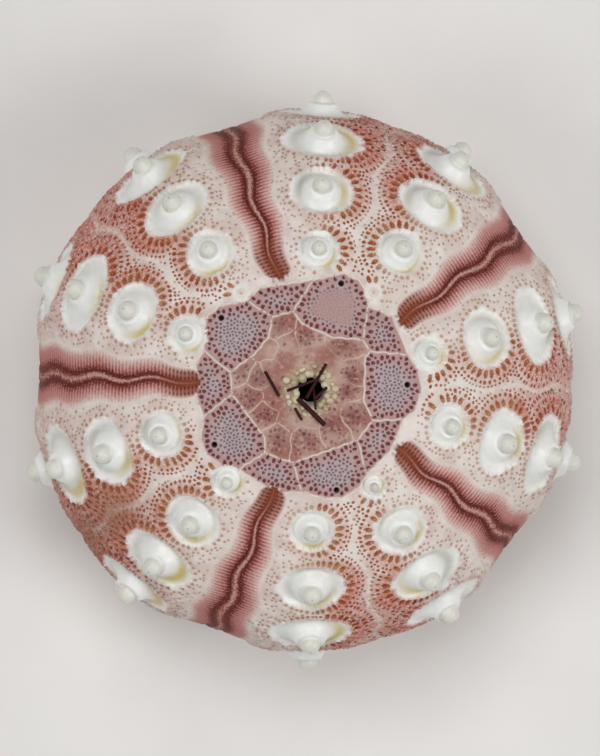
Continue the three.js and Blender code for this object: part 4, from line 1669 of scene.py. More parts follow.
    def add_plates(self) -> None:
        """Adds the rosette: seams, holes, then each plate's pits and ground."""
        outlines = [np.array(corners) for corners in self.plates]
        for outline in outlines:
            for start, end in zip(outline, np.roll(outline, -1, axis=0)):
                self.add_seam(start, end)
        for x, y in self.plate_holes:
            self.add_plate_hole(x, y)
        for number, outline in enumerate(outlines):
            self.add_plate_pits(number, outline)
            self.add_plate_ground(outline)

    def add_plate_hole(self, x: float, y: float) -> None:
        """Adds one of the round holes near the plates' outer corners, painted dark inside as painted
        shade.

        Args:
            x: Its place across, in plan about the axis.
            y: Its place up.
        """
        for radius, lift, dark, count in (
            (0.0, -0.6, 1.0, 1),
            (0.16, -0.55, 1.0, 7),
            (0.24, -0.1, 0.9, 9),
            (0.36, 0.02, 0.0, 11),
        ):
            angle = round_angles(count)
            at = self.globe.at_plan(x + radius * np.cos(angle), y + radius * np.sin(angle))
            self.spots.add(at, lift, 0.05, {Mask.CROWN: 1.0, Mask.PORE_SHADE: dark})

    def scatter(self, corners: Array, tries: int) -> Array:
        """Seeded places thrown over the box of an outline in plan."""
        low, high = corners.min(axis=0), corners.max(axis=0)
        return low + (high - low) * self.rng.random((tries, 2))

    def add_plate_pits(self, number: int, corners: Array) -> None:
        """Adds a plate's pits, finer in its middle.

        Args:
            number: The plate's number.
            corners: Its outline, in plan about the axis.
        """
        thrown = self.scatter(corners, self.plate_pit_tries)
        gap, across = edge_gap(*thrown.T, corners)
        outer = smooth(2.0, 0.3, gap)
        sieve = smooth(0.8, 1.5, gap) * float(number == self.sieve_plate)
        at = self.globe.at_plan(*thrown.T)
        off_hole = plan_gaps(*thrown.T, np.array(self.plate_holes)).min(axis=1)
        usable = (gap > 0.25) & self.top_ground(at) & (off_hole > 0.5)
        heading = math.pi / 2 - (across - np.radians(at.turn))
        uneven = self.rng.uniform(0.85, 1.15, len(thrown))
        wide = (0.15 + 0.12 * outer) * uneven * (1 - 0.25 * sieve)
        long = wide * (1 + 0.6 * outer)
        depth = (0.08 + 0.08 * outer) * (1 - 0.6 * sieve)
        dark = (0.7 + 0.25 * outer) * (1 - 0.78 * sieve)
        wall = 0.13 + 0.045 * outer
        pits = Pits(self.globe)
        rows = pit_rows(at, heading, long, wide, depth, dark, outer)
        pits.offer(rows[usable], wall[usable])
        table = pits.table()
        plate = Ground(self.crown_masks, self.crown_lift)
        self.lay_pits(table, table.columns.width > 0.245, plate, 0.5)

    def crown_masks(self, at: Places) -> Masks:
        """The masks of the top plates' ground, pinker towards their edges."""
        gaps = self.plate_gaps(at)
        smoothed = 0.7 * smooth(0.8, 1.5, gaps[self.sieve_plate])
        blush = np.maximum(0.8 * smooth(1.5, 0.4, gaps.max(axis=0)), smoothed)
        return {Mask.CROWN: 1.0, Mask.BLUSH: blush}

    def crown_lift(self, at: Places) -> Array:
        """The height of the top plates' ground."""
        return np.full(at.arc.shape, self.plate_lift)

    def add_plate_ground(self, corners: Array) -> None:
        """Adds the plain points of a plate between its pits."""
        rows = [np.arange(*ends, 0.34) for ends in zip(corners.min(axis=0), corners.max(axis=0))]
        x, y = (values.ravel() for values in np.meshgrid(*rows))
        at = self.globe.at_plan(x, y)
        at = at.pick((edge_gap(x, y, corners)[0] > 0.1) & self.top_ground(at))
        self.spots.add(at, self.crown_lift(at), 0.17, self.crown_masks(at))

    def vault_masks(self, at: Places) -> Masks:
        """The masks of the skin round the vent, paler near it and dark in its outer plates.

        Args:
            at: The places.

        Returns:
            The masks.
        """
        x, y = self.globe.plan_of(at)
        near = smooth(3.0, 1.5, np.hypot(x, y - self.globe.vent_y))
        far = plan_gaps(x, y, np.array(self.vault_seeds[: self.pitted_seeds])).min(axis=1)
        return {Mask.VAULT: 1.0, Mask.BLUSH: near, Mask.DOT: bell(far, 0.7)}

    def vault_lift(self, at: Places) -> Array:
        """The height of the skin round the vent, each of its small plates domed."""
        near = np.sort(plan_gaps(*self.globe.plan_of(at), np.array(self.vault_seeds)), axis=1)
        return 0.09 * smooth(0.15, 1.1, near[:, 1] - near[:, 0])

    def add_vault(self) -> None:
        """Adds the cracked skin round the vent: seams between its plates, pits and ground."""
        seeds = np.array(self.vault_seeds)
        outline = np.array(self.vault_outline)
        for first in range(len(seeds)):
            for second in range(first + 1, len(seeds)):
                self.add_crack(seeds, first, second, outline)
        self.add_vault_pits(seeds, outline)
        step = self.vault_step
        x, y = np.meshgrid(np.arange(-8, 6.5, step), np.arange(-8, 7.5, step * ROW_PITCH))
        x = x + step / 2 * (np.arange(len(x)) % 2)[:, None]
        x, y = x.ravel(), y.ravel()
        inside = (edge_gap(x, y, outline)[0] > 0.15) & (self.off_vent(x, y) > 0.22)
        at = self.globe.at_plan(x[inside], y[inside])
        lift = self.vault_lift(at) + self.rng.uniform(-0.025, 0.025, len(at))
        self.spots.add(at, lift, 0.15, self.vault_masks(at))

    def add_vault_pits(self, seeds: Array, outline: Array) -> None:
        """Adds the pits that spread from the middles of the outer plates round the vent.

        Args:
            seeds: The middles of the plates.
            outline: The outline of the skin.
        """
        thrown = self.scatter(outline, self.vault_pit_tries)
        far = plan_gaps(*thrown.T, seeds)
        order = np.sort(far, axis=1)
        owner = far.argmin(axis=1)
        kept = self.rng.random(len(thrown)) < np.where(owner < self.pitted_seeds, 1.0, 0.05)
        usable = (edge_gap(*thrown.T, outline)[0] > 0.25) & (self.off_vent(*thrown.T) > 0.4)
        usable &= (order[:, 1] - order[:, 0] > 0.3) & kept
        at = self.globe.at_plan(*thrown.T)
        draw = self.rng.random((len(thrown), 2)).T
        away = thrown - seeds[owner]
        heading = math.pi / 2 - (np.arctan2(away[:, 1], away[:, 0]) - np.radians(at.turn))
        dark = (0.5 + 0.45 * draw[1]) * (0.55 + 0.45 * bell(order[:, 0], 0.9))
        long, wide = 0.28 + 0.35 * draw[0], 0.14 + 0.05 * draw[1]
        pits = Pits(self.globe)
        pits.offer(pit_rows(at, heading, long, wide, 0.07, dark, 0.8)[usable], 0.11)
        table = pits.table()
        skin = Ground(self.vault_masks, self.vault_lift)
        self.lay_pits(table, np.zeros(len(table), bool), skin, 0.45)

    def add_crack(self, seeds: Array, first: int, second: int, outline: Array) -> None:
        """Adds the seam between two plates of the skin round the vent, if they meet.

        Args:
            seeds: The middles of the plates.
            first: The number of one plate.
            second: The number of the other.
            outline: The outline of the skin.
        """
        gap = seeds[second] - seeds[first]
        length = float(np.hypot(*gap))
        if length > 4.2:
            return
        along = np.array([-gap[1], gap[0]]) / length
        share = np.arange(-2.4, 2.4, 0.15)[:, None]
        line = (seeds[first] + seeds[second]) / 2 + share * along
        line = line + 0.07 * np.sin(4.0 * line[:, ::-1])
        far = plan_gaps(*line.T, seeds)
        pair = np.minimum(far[:, first], far[:, second])
        meets = np.delete(far, [first, second], axis=1).min(axis=1) > pair - 0.04
        inside = edge_gap(*line.T, outline)[0] > 0.12
        line = line[meets & inside & (self.off_vent(*line.T) > 0.3)]
        if not len(line):
            return
        bright = 0.05 + 0.5 * smooth(3.0, 5.2, np.hypot(line[:, 0], line[:, 1]))
        at = self.globe.at_plan(*line.T)
        self.spots.add(at, 0.02, 0.1, {**self.vault_masks(at), Mask.SEAM: bright})
        for side in (-0.1, 0.1):
            at = self.globe.at_plan(*(line + side * gap / length).T)
            self.spots.add(at, -0.02, 0.08, self.vault_masks(at))

    def plan_hollow_pits(self, pits: Pits, knob: int, ring: int) -> None:
        """Offers one ring of pits round a knob's hollow, long ones where it faces inward.

        Args:
            pits: Where they are gathered.
            knob: The knob's number.
            ring: 0 for the long pits at the rim, 1 and 2 for the small ones outside them.
        """
        knobs = self.knobs
        across, along = knobs.across[knob], knobs.along[knob]
        spacing = (0.54, 0.42, 0.38)[ring] * (1.0 if self.is_fine(knob) else 1.4)
        count = int(round(math.pi * (across + along + 1.6 * ring) / spacing))
        theta = FULL_TURN * (np.arange(count) + self.rng.uniform(-0.15, 0.15, count)) / count
        theta = theta + 0.5 * (1 - along / across) * np.sin(2 * theta)
        draw = self.rng.random((4, count))
        heading = np.arctan2(np.sin(theta) / along, np.cos(theta) / across)
        inner = smooth(-0.35, 0.6, -knobs.side[knob] * np.cos(heading))
        streak = inner * smooth(19.0, 26.0, knobs.arc[knob])
        lengths = (0.32 + 0.52 * inner, 0.22 + 0.14 * inner + 0.2 * streak, 0.18 + 0.3 * streak)
        widths = (0.27 + 0.1 * inner, 0.19 + 0.03 * inner - 0.04 * streak, 0.16 - 0.02 * streak)
        off = 0.08 + 0.14 * ring + sum(lengths[:ring]) + lengths[ring] / 2
        aside = np.cos(theta) * across + np.cos(heading) * off
        at = knobs.beside(knob, aside, np.sin(theta) * along + np.sin(heading) * off)
        long = lengths[ring] * (0.85 + 0.3 * draw[0])
        wide = np.minimum(widths[ring] * (0.85 + 0.3 * draw[1]), long)
        skipped = (inner < 0.3) & (draw[2] < (0.2, 0.5, 0.6)[ring])
        warm = np.interp(at.arc, [19.0, 26.0, 34.0], [1.0, 0.45, 0.1]) * (0.55 + 0.45 * draw[3])
        warm = np.minimum(warm * (1.0 if ring == 0 else 0.7) + 0.35 * (1 - inner), 1.0)
        dark = (0.6 + 0.42 * inner) * (0.8 + 0.25 * draw[2])
        depth = (0.1 + 0.1 * inner) * (1.0 if ring == 0 else 0.6)
        usable = self.pit_room(at, long) & ~skipped
        pits.offer(pit_rows(at, heading, long, wide, depth, dark, warm)[usable], 0.12)

    def pit_room(self, at: Places, long: Values) -> Array:
        """Which pits keep off the hollows, bands, plates and sutures.

        Args:
            at: Their middles.
            long: Their lengths.

        Returns:
            Whether each does.
        """
        gap, _ = self.sutures.offset(at)
        width = np.interp(at.arc, self.seam_arcs, self.pit_free_widths)
        clear = self.open_ground(at, 1.04) & ~self.on_top(at, 0.55)
        return clear & (np.abs(gap) > width + 0.25 * long)

    def plan_loose_pits(self, pits: Pits) -> None:
        """Offers small pits over the ground that is left, streaked near the equator.

        Args:
            pits: Where they are gathered.
        """
        knobs = self.knobs
        tries = self.loose_pit_tries
        arc = self.rng.uniform(11.0, self.detail_arc + 2, tries)
        at = Places(arc, self.rng.uniform(0.0, 360.0, tries))
        keep = self.rng.random(tries) < self.globe.radius(arc) / self.globe.equator_radius
        at = at.pick(keep & self.pit_room(at, 0.2))
        _, from_middle = self.sutures.offset(at)
        nearest = knobs.share(at).argmin(axis=1)
        draw = self.rng.random((2, len(at)))
        swing = np.radians(signed_turn(at.turn - knobs.turn[nearest])) * self.globe.radius(at.arc)
        heading = np.arctan2(at.arc - knobs.arc[nearest], swing)
        inward = smooth(15.0, 8.0, np.abs(from_middle))
        streak = inward * smooth(19.0, 25.0, at.arc)
        wide = 0.16 - 0.02 * streak + 0.12 * draw[1] ** 2 * (1 - streak)
        long = np.maximum(0.2 + 0.25 * streak * draw[0], wide)
        faded = 1 - 0.3 * (1 - inward) * smooth(19.0, 26.0, at.arc)
        dark = (0.32 + 0.33 * inward + 0.4 * draw[0]) * faded
        warm = draw[1] ** 0.8 * (1 - 0.6 * inward) * (1 - 0.3 * streak)
        wall = 0.13 + 0.12 * (1 - inward) + 0.05 * draw[1]
        pits.offer(pit_rows(at, heading, long, wide, 0.06, dark, warm), wall)

    def add_pits(self) -> None:
        """Adds the pits of the ground: ringed round the hollows, then loose ones."""
        pits = Pits(self.globe)
        order = np.argsort(self.knobs.arc)
        for ring in (0, 1, 2):
            for knob in order:
                self.plan_hollow_pits(pits, int(knob), ring)
        ringed = len(pits.taken)
        self.plan_loose_pits(pits)
        table = pits.table()
        LOG.info("pits: %d round hollows, %d in all", ringed, len(table))
        wide = (table.columns.width > 0.235) & (table.columns.arc < self.detail_arc)
        self.lay_pits(table, wide, Ground(self.ground_masks, self.relief), 0.5)

    def lay_pits(self, table: PitTable, wide: Array, ground: Ground, reach: float) -> None:
        """Lays pits into the skin: floors and walls, ridges between them, then rims.

        Args:
            table: The pits.
            wide: Which of them are wide enough to have walls.
            ground: The ground that they lie in.
            reach: The widest gap between two pits that gets a ridge in its middle.
        """
        numbers = np.arange(len(table))
        broad, narrow = table.pick(wide), table.pick(~wide)
        even = (1.0,)
        inside = []
        for chosen, (at, local), sink, strength, tones, warms in (
            (numbers[wide], broad.spine(0.6), 1.0, 1.0, (1.05, 0.75, 1.15), (0.85, 1.15, 0.6)),
            (numbers[wide], broad.ring(7, 0.86, 0.0), 0.6, 1.0, even, even),
            (numbers[~wide], narrow.ring(1, 0.0, 0.0), 1.0, 2.0, even, even),
        ):
            owner = chosen[local]
            masks = {**ground.masks(at), **self.pit_masks(table, owner, strength)}
            masks[Mask.TONE] = masks[Mask.TONE] * np.resize(tones, len(at))
            masks[Mask.WARM] = masks[Mask.WARM] * np.resize(warms, len(at))
            lift = ground.lift(at) - table.columns.depth[owner] * sink
            taken = self.spots.add(at, lift, 0.04, masks)
            inside.append((at.arc[taken], at.turn[taken], owner[taken]))
        arc, turn, owner = (np.concatenate(part) for part in zip(*inside))
        self.lay_ridges(table, Places(arc, turn), owner, ground, reach)
        for chosen, count, margin in ((numbers[wide], 7, 0.09), (numbers[~wide], 5, 0.1)):
            at, local = table.pick(chosen).ring(count, 1.0, margin)
            self.add_rims(table, at, chosen[local], ground, 0.1)

    def pit_masks(self, table: PitTable, owner: Array, depth: float) -> Masks:
        """The masks of points in or beside pits."""
        dark, warm = table.columns.dark[owner], table.columns.warm[owner]
        return {Mask.PIT: depth, Mask.TONE: dark, Mask.WARM: warm}

    def add_rims(
        self, table: PitTable, at: Places, owner: Array, ground: Ground, room: float
    ) -> None:
        """Adds points of the ground beside pits, each with the number of its pit."""
        masks = {**ground.masks(at), **self.pit_masks(table, owner, 0.0)}
        self.spots.add(at, ground.lift(at) + self.rough(at) + self.rim_lift, room, masks)

    def lay_ridges(
        self, table: PitTable, at: Places, owner: Array, ground: Ground, reach: float
    ) -> None:
        """Lays a point midway between every two pits that lie close together.

        Args:
            table: The pits.
            at: The places of the points inside them.
            owner: The number of the pit of each.
            ground: The ground that they lie in.
            reach: The widest gap that gets such a point.
        """
        faces = joined_flat(self.globe.flat(at), [])
        pairs = np.concatenate([faces[:, [0, 1]], faces[:, [1, 2]], faces[:, [2, 0]]])
        pairs = np.unique(np.sort(pairs, axis=1), axis=0)
        pairs = pairs[owner[pairs[:, 0]] != owner[pairs[:, 1]]]
        points, _ = self.globe.ground(at)
        far = np.linalg.norm(points[pairs[:, 0]] - points[pairs[:, 1]], axis=1)
        first, second = pairs[far < reach].T
        arc = (at.arc[first] + at.arc[second]) / 2
        turn = at.turn[first] + signed_turn(at.turn[second] - at.turn[first]) / 2
        self.add_rims(table, Places(arc, turn), owner[first], ground, 0.07)

    def add_fill(self) -> None:
        """Adds plain points over whatever ground is left."""
        arc = 9.4
        row = 0
        while arc < self.globe.mouth_arc - 0.5:
            step = 0.4 if arc < self.detail_arc else 0.62
            count = int(round(FULL_TURN * self.globe.radius(arc) / step))
            at = Places(np.full(count, arc), 360.0 * (np.arange(count) + 0.5 * (row % 2)) / count)
            at = at.pick(self.open_ground(at, 1.03))
            lift = self.relief(at) + self.rough(at) + 0.02
            self.spots.add(at, lift, step * 0.62, self.ground_masks(at))
            arc += step * ROW_PITCH
            row += 1

    def outer_points(self) -> tuple[Array, Array, Masks]:
        """Adds all the points of the outside, features before ground.

        Returns:
            Their places in the map, their places in space and their masks.
        """
        for step in (
            self.add_openings,
            self.add_knobs,
            self.add_bands,
            self.add_plates,
            self.add_vault,
            self.add_pits,
            self.add_fill,
        ):
            step()
            LOG.info("%s: %d points", step.__name__, sum(len(part) for part in self.spots.places))
        return self.spots.gathered()

    def inner_points(self) -> tuple[Array, Array]:
        """Lays out the points of the smooth inner wall, the openings' edges first.

        Returns:
            Places in the map and in space.
        """
        parts = [self.vent_edge(), self.mouth_edge()]
        row = 2.6
        while row < self.globe.mouth_arc - 1:
            count = int(round(FULL_TURN * self.globe.radius(row) / self.inner_step))
            turn = 360.0 * (np.arange(count) + 0.37 * row) / count
            parts.append(Places(np.full(count, row), turn))
            row += self.inner_step * ROW_PITCH
        arc = np.concatenate([part.arc for part in parts])
        at = Places(arc, np.concatenate([part.turn for part in parts]))
        points, normals = self.globe.ground(at)
        height = -self.globe.wall - self.globe.tuck(at.arc) + 0.22 * self.bands_inside(at)
        return self.globe.flat(at), points + normals * height[:, None]

    def bands_inside(self, at: Places) -> Array:
        """The shallow hollow of the bands on the inner wall."""
        return smooth(1.4, 0.4, self.bands.across(at)) * smooth(12.0, 15.0, at.arc)

    def joined(self, flat: Array) -> Array:
        """Joins points of the flat map into triangles, leaving both openings open.

        Args:
            flat: The points, the edges of the vent and the mouth first.

        Returns:
            The corners of each triangle.
        """
        edge = [(i, (i + 1) % self.vent_points) for i in range(self.vent_points)]
        faces = joined_flat(flat, edge)
        vent = (faces < self.vent_points).all(axis=1)
        rims = self.vent_points + self.mouth_points
        mouth = ((faces >= self.vent_points) & (faces < rims)).all(axis=1)
        return faces[~vent & ~mouth]

    def rim_faces(self, start: int, count: int, shift: int) -> Array:
        """Joins the outer and the inner edge of an opening.

        Args:
            start: The number of the outer edge's first point.
            count: How many points the edge has.
            shift: How far on the inner edge's points are numbered.

        Returns:
            The corners of each triangle, facing into the vent.
        """
        a = start + np.arange(count)
        b = start + (np.arange(count) + 1) % count
        return np.stack([a, b, a + shift, b, b + shift, a + shift], axis=1).reshape(-1, 3)

    def build(self) -> Piece:
        """Builds the skin.

        Returns:
            The piece, in metres, with its masks as attributes.
        """
        flat, places, masks = self.outer_points()
        inner_flat, inner_places = self.inner_points()
        shift = len(flat)
        vent = self.rim_faces(0, self.vent_points, shift)
        mouth = self.rim_faces(self.vent_points, self.mouth_points, shift)
        lining = self.joined(inner_flat) + shift
        faces = np.concatenate([self.joined(flat), lining[:, ::-1], vent, mouth[:, ::-1]])
        points = np.concatenate([places, inner_places])
        points[:, 2] = np.maximum(points[:, 2], 0.0)
        mesh = bpy.data.meshes.new("shell_skin")
        mesh.from_pydata(points * MM, [], faces)
        mesh.polygons.foreach_set("use_smooth", np.ones(len(faces), bool))
        for mask, values in masks.items():
            extra = np.full(len(inner_places), 1.0 if mask is Mask.INSIDE else 0.0)
            layer = mesh.attributes.new(mask.value, "FLOAT", "POINT")
            layer.data.foreach_set("value", np.concatenate([values, extra]).astype(np.float32))
        mesh.update()
        LOG.info("shell_skin: %d points, %d faces", len(points), len(faces))
        piece = bpy.data.objects.new("shell_skin", mesh)
        bpy.context.scene.collection.objects.link(piece)
        return piece

    def dress(self, piece: Piece, material: Material) -> None:
        """Gives the skin its finish and its place in the frame."""
        piece.data.materials.append(material)
        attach(piece, "root")
        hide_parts("test")


class Bench:
    """Small steps of modelling by hand on one object at a time."""

    @staticmethod
    def clear() -> None:
        """Leaves edit mode and deselects everything."""
        if bpy.context.mode != "OBJECT":
            bpy.ops.object.mode_set(mode="OBJECT")
        bpy.ops.object.select_all(action="DESELECT")

    @staticmethod
    def take(piece: Piece) -> None:
        """Makes one object the only one selected, and the active one."""
        Bench.clear()
        piece.select_set(True)
        bpy.context.view_layer.objects.active = piece

    @staticmethod
    def pick(piece: Piece, test: Callable[[Vector], bool]) -> None:
        """In edit mode, selects the points that pass a test, with the edges and faces between.

        Args:
            piece: The object.
            test: Tells of a point's place whether it is selected.
        """
        shape = bmesh.from_edit_mesh(piece.data)
        for point in shape.verts:
            point.select = test(point.co)
        shape.select_flush_mode()
        for part in (*shape.edges, *shape.faces):
            part.select = all(point.select for point in part.verts)
        bmesh.update_edit_mesh(piece.data)

    @staticmethod
    def settle(piece: Piece) -> None:
        """Puts an object's place, turn and size into its mesh."""
        Bench.take(piece)
        bpy.ops.object.transform_apply(location=True, rotation=True, scale=True)


@dataclass
class VentBeads:
    """The pale beads that crowd round the vent, in an inner and an outer ring."""

    globe: Globe
    rng: np.random.Generator
    count: int = 38
    inner_count: int = 17
    radius: float = 0.38
    ring_radii: Span = (1.53, 2.25)
    ring_spread: float = 0.26
    ring_sizes: Span = (1.0, 0.85)
    ring_lifts: Span = (0.22, 0.1)
    ring_leans: Span = (-0.35, 0.0)

    def model_one(self) -> Piece:
        """Models one bead by hand: a ball drawn to a blunt top, narrower at its foot.

        Returns:
            The bead, at the origin.
        """
        Bench.clear()
        size = self.radius * MM
        bpy.ops.mesh.primitive_ico_sphere_add(subdivisions=2, radius=size, location=(0, 0, 0))
        bead = bpy.context.active_object
        bpy.ops.object.mode_set(mode="EDIT")
        Bench.pick(bead, lambda place: place.z < -0.2 * size)
        bpy.ops.transform.resize(value=(0.78, 0.78, 1.1))
        Bench.pick(bead, lambda place: place.z > 0.6 * size)
        bpy.ops.transform.translate(value=(0.06 * size, 0.0, 0.18 * size))
        bpy.ops.object.mode_set(mode="OBJECT")
        smoothing = bead.modifiers.new("round", "SUBSURF")
        smoothing.levels = 1
        smoothing.render_levels = 1
        Bench.take(bead)
        bpy.ops.object.modifier_apply(modifier=smoothing.name)
        return bead

    def build(self) -> Piece:
        """Builds the beads as one piece, standing in the skin round the vent.

        Returns:
            The piece.
        """
        first = self.model_one()
        copies = [first]
        for _ in range(self.count - 1):
            copy = first.copy()
            copy.data = first.data.copy()
            bpy.context.scene.collection.objects.link(copy)
            copies.append(copy)
        for number, bead in enumerate(copies):
            self.stand(bead, number)
            Bench.settle(bead)
        Bench.take(first)
        for bead in copies:
            bead.select_set(True)
        bpy.ops.object.join()
        first.name = "vent_beads"
        bpy.ops.object.shade_smooth()
        return first

    def stand(self, bead: Piece, number: int) -> None:
        """Stands a bead at its place, an inner one leaning towards the vent.

        Args:
            bead: The bead.
            number: Its number, the inner ring's first.
        """
        ring = 0 if number < self.inner_count else 1
        first = (0, self.inner_count)[ring]
        total = (self.inner_count, self.count - self.inner_count)[ring]
        angle = FULL_TURN * (number - first) / total + self.rng.uniform(-0.15, 0.15)
        reach = self.ring_radii[ring] + self.rng.uniform(-self.ring_spread, self.ring_spread)
        x, y = reach * math.cos(angle), self.globe.vent_y + reach * math.sin(angle)
        at = self.globe.at_plan(np.array([x]), np.array([y]))
        point, normal = self.globe.ground(at)
        lit = 1 + 0.15 * math.sin(angle)
        size = self.rng.uniform(0.6, 1.25) * self.ring_sizes[ring] * lit
        bead.scale = (size * self.rng.uniform(0.8, 1.15), size, size * self.rng.uniform(0.9, 1.15))
        bead.rotation_euler = (self.rng.uniform(-0.4, 0.4), self.ring_leans[ring], angle)
        bead.location = Vector(point[0] + normal[0] * self.ring_lifts[ring]) * MM

    def dress(self, piece: Piece, material: Material) -> None:
        """Gives the beads their finish and their place in the frame."""
        piece.data.materials.clear()
        piece.data.materials.append(material)
        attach(piece, "root")
        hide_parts("test")


class Fragment(NamedTuple):
    """One loose bit of spine: its two ends, from the globe's top, and its thickness."""

    start: tuple[float, float, float]
    end: tuple[float, float, float]
    thick: float


@dataclass
class SpineFragments:
    """The loose bits of broken spine that lie over the vent."""

    globe: Globe
    rng: np.random.Generator
    sides: int = 12
    cuts: int = 4
    taper: float = 0.72
    flute: float = 0.84
    bow: float = 0.08
    fragments: tuple[Fragment, ...] = (
        Fragment((-4.2, 1.2, 0.16), (-2.9, -1.1, 0.24), 0.3),
        Fragment((-2.2, -0.6, 0.62), (0.4, 0.4, 1.08), 0.26),
        Fragment((1.45, 1.9, 0.42), (-0.4, -1.3, 0.5), 0.3),
        Fragment((-1.2, -1.3, 0.62), (1.3, -3.75, 0.3), 0.46),
        Fragment((0.3, -0.4, 0.0), (0.45, -2.3, 0.72), 0.22),
        Fragment((1.5, -0.3, 0.62), (0.4, -1.3, 0.9), 0.26),
        Fragment((-1.45, -2.2, 0.5), (-0.8, -3.3, 0.2), 0.26),
    )

    def model(self, thick: float, length: float) -> Piece:
        """Models one upright fragment by hand: fluted, tapered, with broken ends.

        Args:
            thick: Its diameter at the thicker end.
            length: Its length.

        Returns:
            The fragment, upright at the origin.
        """
        Bench.clear()
        radius = thick / 2 * MM
        half = length / 2 * MM
        origin = (0, 0, 0)
        bpy.ops.mesh.primitive_cylinder_add(
            vertices=self.sides, radius=radius, depth=2 * half, location=origin
        )
        stick = bpy.context.active_object
        bpy.ops.object.mode_set(mode="EDIT")
        self.cut_across(stick)
        turn = FULL_TURN / self.sides
        Bench.pick(stick, lambda place: round(math.atan2(place.x, place.y) / turn) % 2 == 1)
        bpy.ops.transform.resize(value=(self.flute, self.flute, 1.0), center_override=origin)
        Bench.pick(stick, lambda place: place.z > 0.98 * half)
        bpy.ops.transform.resize(value=(self.taper, self.taper, 1.0), center_override=origin)
        Bench.pick(stick, lambda place: abs(place.z) < 0.5 * half)
        bow = self.rng.uniform(-self.bow, self.bow) * radius
        bpy.ops.transform.translate(value=(bow, 0.12 * radius, 0.0))
        for end in (-1, 1):
            self.break_end(stick, end * half, radius)
        bpy.ops.object.mode_set(mode="OBJECT")
        return stick

    def cut_across(self, stick: Piece) -> None:
        """Cuts the stick's long sides across, in edit mode."""
        shape = bmesh.from_edit_mesh(stick.data)
        for edge in shape.edges:
            edge.select = abs(edge.verts[0].co.z - edge.verts[1].co.z) > 1e-6
        bmesh.update_edit_mesh(stick.data)
        bpy.ops.mesh.subdivide(number_cuts=self.cuts)

    def break_end(self, stick: Piece, height: float, radius: float) -> None:
        """Insets an end and sinks its pith, with one side of its edge broken lower.

        Args:
            stick: The fragment, in edit mode.
            height: The end's height.
            radius: The fragment's radius.
        """
        Bench.pick(stick, lambda place: abs(place.z - height) < 1e-7)
        bpy.ops.mesh.inset(thickness=0.3 * radius)
        way = 1.0 if height > 0 else -1.0
        bpy.ops.transform.translate(value=(0.0, 0.0, -way * 0.3 * radius))
        lip = self.rng.uniform(0, FULL_TURN)
        aim = Vector((math.cos(lip), math.sin(lip), 0.0))
        near = 0.2 * radius
        Bench.pick(stick, lambda place: abs(place.z - height) < 1e-7 and place.dot(aim) > near)
        bpy.ops.transform.translate(value=(0.0, 0.0, -way * 0.5 * radius))

    def build(self, number: int) -> Piece:
        """Builds one fragment where its solid lies.

        Args:
            number: Its number, from 0.

        Returns:
            The piece.
        """
        fragment = self.fragments[number]
        top = self.globe.centre_height + self.globe.half_height
        axis = np.array([self.globe.axis_x, self.globe.axis_y, top])
        foot = np.array(fragment.start) + axis
        tip = np.array(fragment.end) + axis
        stick = self.model(fragment.thick, float(np.linalg.norm(tip - foot)))
        stick.name = f"loose_spine_{number + 1}"
        self.mark_rib_highlights(stick)
        stick.rotation_mode = "QUATERNION"
        stick.rotation_quaternion = Vector(tip - foot).to_track_quat("Z", "Y")
        stick.location = Vector((foot + tip) / 2) * MM
        Bench.settle(stick)
        bpy.ops.object.shade_smooth_by_angle(angle=math.radians(35))
        return stick

    def mark_rib_highlights(self, stick: Piece) -> None:
        """Paints a highlight on the stick's ribs, paler in patches, before it is laid down."""
        places = np.array([point.co for point in stick.data.vertices])
        turn = np.arctan2(places[:, 0], places[:, 1]) * self.sides / FULL_TURN
        rib = (np.round(turn) % 2 == 0).astype(float)
        patch = 0.5 + 0.5 * np.sin(places[:, 2] / MM * 2.3 + turn * 1.7)
        # painted highlight on the ribs
        layer = stick.data.attributes.new(RIB_HIGHLIGHT, "FLOAT", "POINT")
        layer.data.foreach_set("value", (0.4 * rib * patch).astype(np.float32))

    def dress(self, piece: Piece, number: int, material: Material) -> None:
        """Gives a fragment its finish and its place in the frame."""
        piece.data.materials.append(material)
        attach(piece, "root")
        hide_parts(f"spine_fragment_{number + 1}")


class Softbox(NamedTuple):
    """One square light: its name, its place and size in metres, and its power."""

    name: str
    place: tuple[float, float, float]
    size: float
    power: float


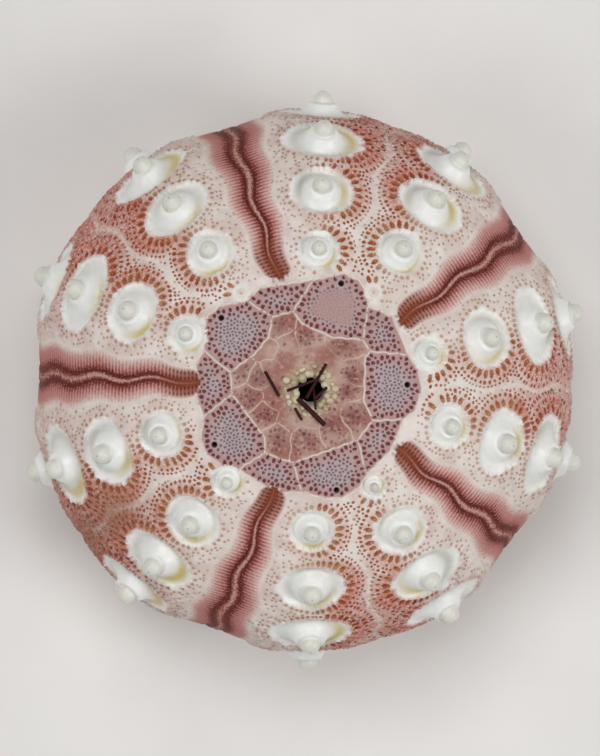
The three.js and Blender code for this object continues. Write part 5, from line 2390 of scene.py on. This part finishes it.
@dataclass
class Studio:
    """The pale floor, the soft lights and the camera."""

    floor_size: float = 3.0
    floor_rise: float = 0.12
    target: tuple[float, float, float] = (-0.39, 0.34, 13.3)
    away: tuple[float, float, float] = (-0.0476, 0.0207, 1.0)
    distance: float = 500.0
    lens: float = 250.0
    sensor: float = 36.0
    sky: float = 0.17
    sky_colour: tuple[float, float, float, float] = (1.0, 0.99, 0.98, 1.0)
    light_aim: tuple[float, float, float] = (0.0, 0.0, 0.015)
    lights: tuple[Softbox, ...] = (
        Softbox("main_box", (-0.12, 0.28, 0.8), 0.45, 2.65),
        Softbox("left_box", (-0.5, -0.15, 0.5), 0.35, 0.95),
        Softbox("right_box", (0.5, -0.2, 0.5), 0.35, 1.8),
    )

    def lay_floor(self, material: Material) -> None:
        """Lays a wide floor whose edge turns up softly, by hand from a plane.

        Args:
            material: Its material.
        """
        Bench.clear()
        bpy.ops.mesh.primitive_plane_add(size=self.floor_size, location=(0, 0, 0))
        floor = bpy.context.active_object
        floor.name = "floor"
        bpy.ops.object.mode_set(mode="EDIT")
        bpy.ops.mesh.inset(thickness=self.floor_size * 0.12)
        edge = self.floor_size * 0.49
        Bench.pick(floor, lambda place: max(abs(place.x), abs(place.y)) > edge)
        bpy.ops.transform.translate(value=(0.0, 0.0, self.floor_rise))
        bpy.ops.object.mode_set(mode="OBJECT")
        floor.data.materials.append(material)

    def hang_lights(self) -> None:
        """Hangs the softboxes, all turned to the shell, under a pale sky."""
        for box in self.lights:
            data = bpy.data.lights.new(box.name, "AREA")
            data.shape = "SQUARE"
            data.size = box.size
            data.energy = box.power
            lamp = bpy.data.objects.new(box.name, data)
            lamp.location = box.place
            aim = Vector(self.light_aim) - Vector(box.place)
            lamp.rotation_euler = aim.to_track_quat("-Z", "Y").to_euler()
            bpy.context.scene.collection.objects.link(lamp)
        world = bpy.data.worlds.new("studio")
        world.use_nodes = True
        background = world.node_tree.nodes["Background"]
        background.inputs["Color"].default_value = self.sky_colour
        background.inputs["Strength"].default_value = self.sky
        bpy.context.scene.world = world

    def set_camera(self) -> None:
        """Sets the camera above the shell, a little to the left, as the photograph has it."""
        data = bpy.data.cameras.new("camera")
        data.lens = self.lens
        data.sensor_width = self.sensor
        data.clip_start = 0.01
        data.clip_end = 10.0
        camera = bpy.data.objects.new("camera", data)
        back = Vector(self.away).normalized()
        right = Vector((0.0, 1.0, 0.0)).cross(back).normalized()
        turned = Matrix((right, back.cross(right), back)).transposed()
        camera.location = (Vector(self.target) + back * self.distance) * MM
        camera.rotation_mode = "QUATERNION"
        camera.rotation_quaternion = turned.to_quaternion()
        bpy.context.scene.collection.objects.link(camera)
        bpy.context.scene.camera = camera


def main() -> None:
    """Builds the shell, the beads, the fragments and the studio, in that order."""
    logging.basicConfig(level=logging.INFO, format="%(name)s: %(message)s")
    rng = np.random.default_rng(SEED)
    globe = Globe()
    knobs = Knobs(globe)
    finisher = Finisher()
    skin = ShellSkin(globe, knobs, Bands(globe, knobs), Sutures(globe, knobs), rng)
    piece = skin.build()
    skin.dress(piece, finisher.shell(ShellFinish()))
    LOG.info("built %s", piece.name)
    beads = VentBeads(globe, rng)
    piece = beads.build()
    beads.dress(piece, finisher.plain(BEAD_FINISH))
    LOG.info("built %s", piece.name)
    spine = finisher.plain(SPINE_FINISH)
    fragments = SpineFragments(globe, rng)
    for number in range(len(fragments.fragments)):
        piece = fragments.build(number)
        fragments.dress(piece, number, spine)
        LOG.info("built %s", piece.name)
    studio = Studio()
    studio.lay_floor(finisher.plain(FLOOR_FINISH))
    studio.hang_lights()
    studio.set_camera()
    bpy.context.scene.view_settings.view_transform = "Standard"


if __name__ == "__main__":
    main()
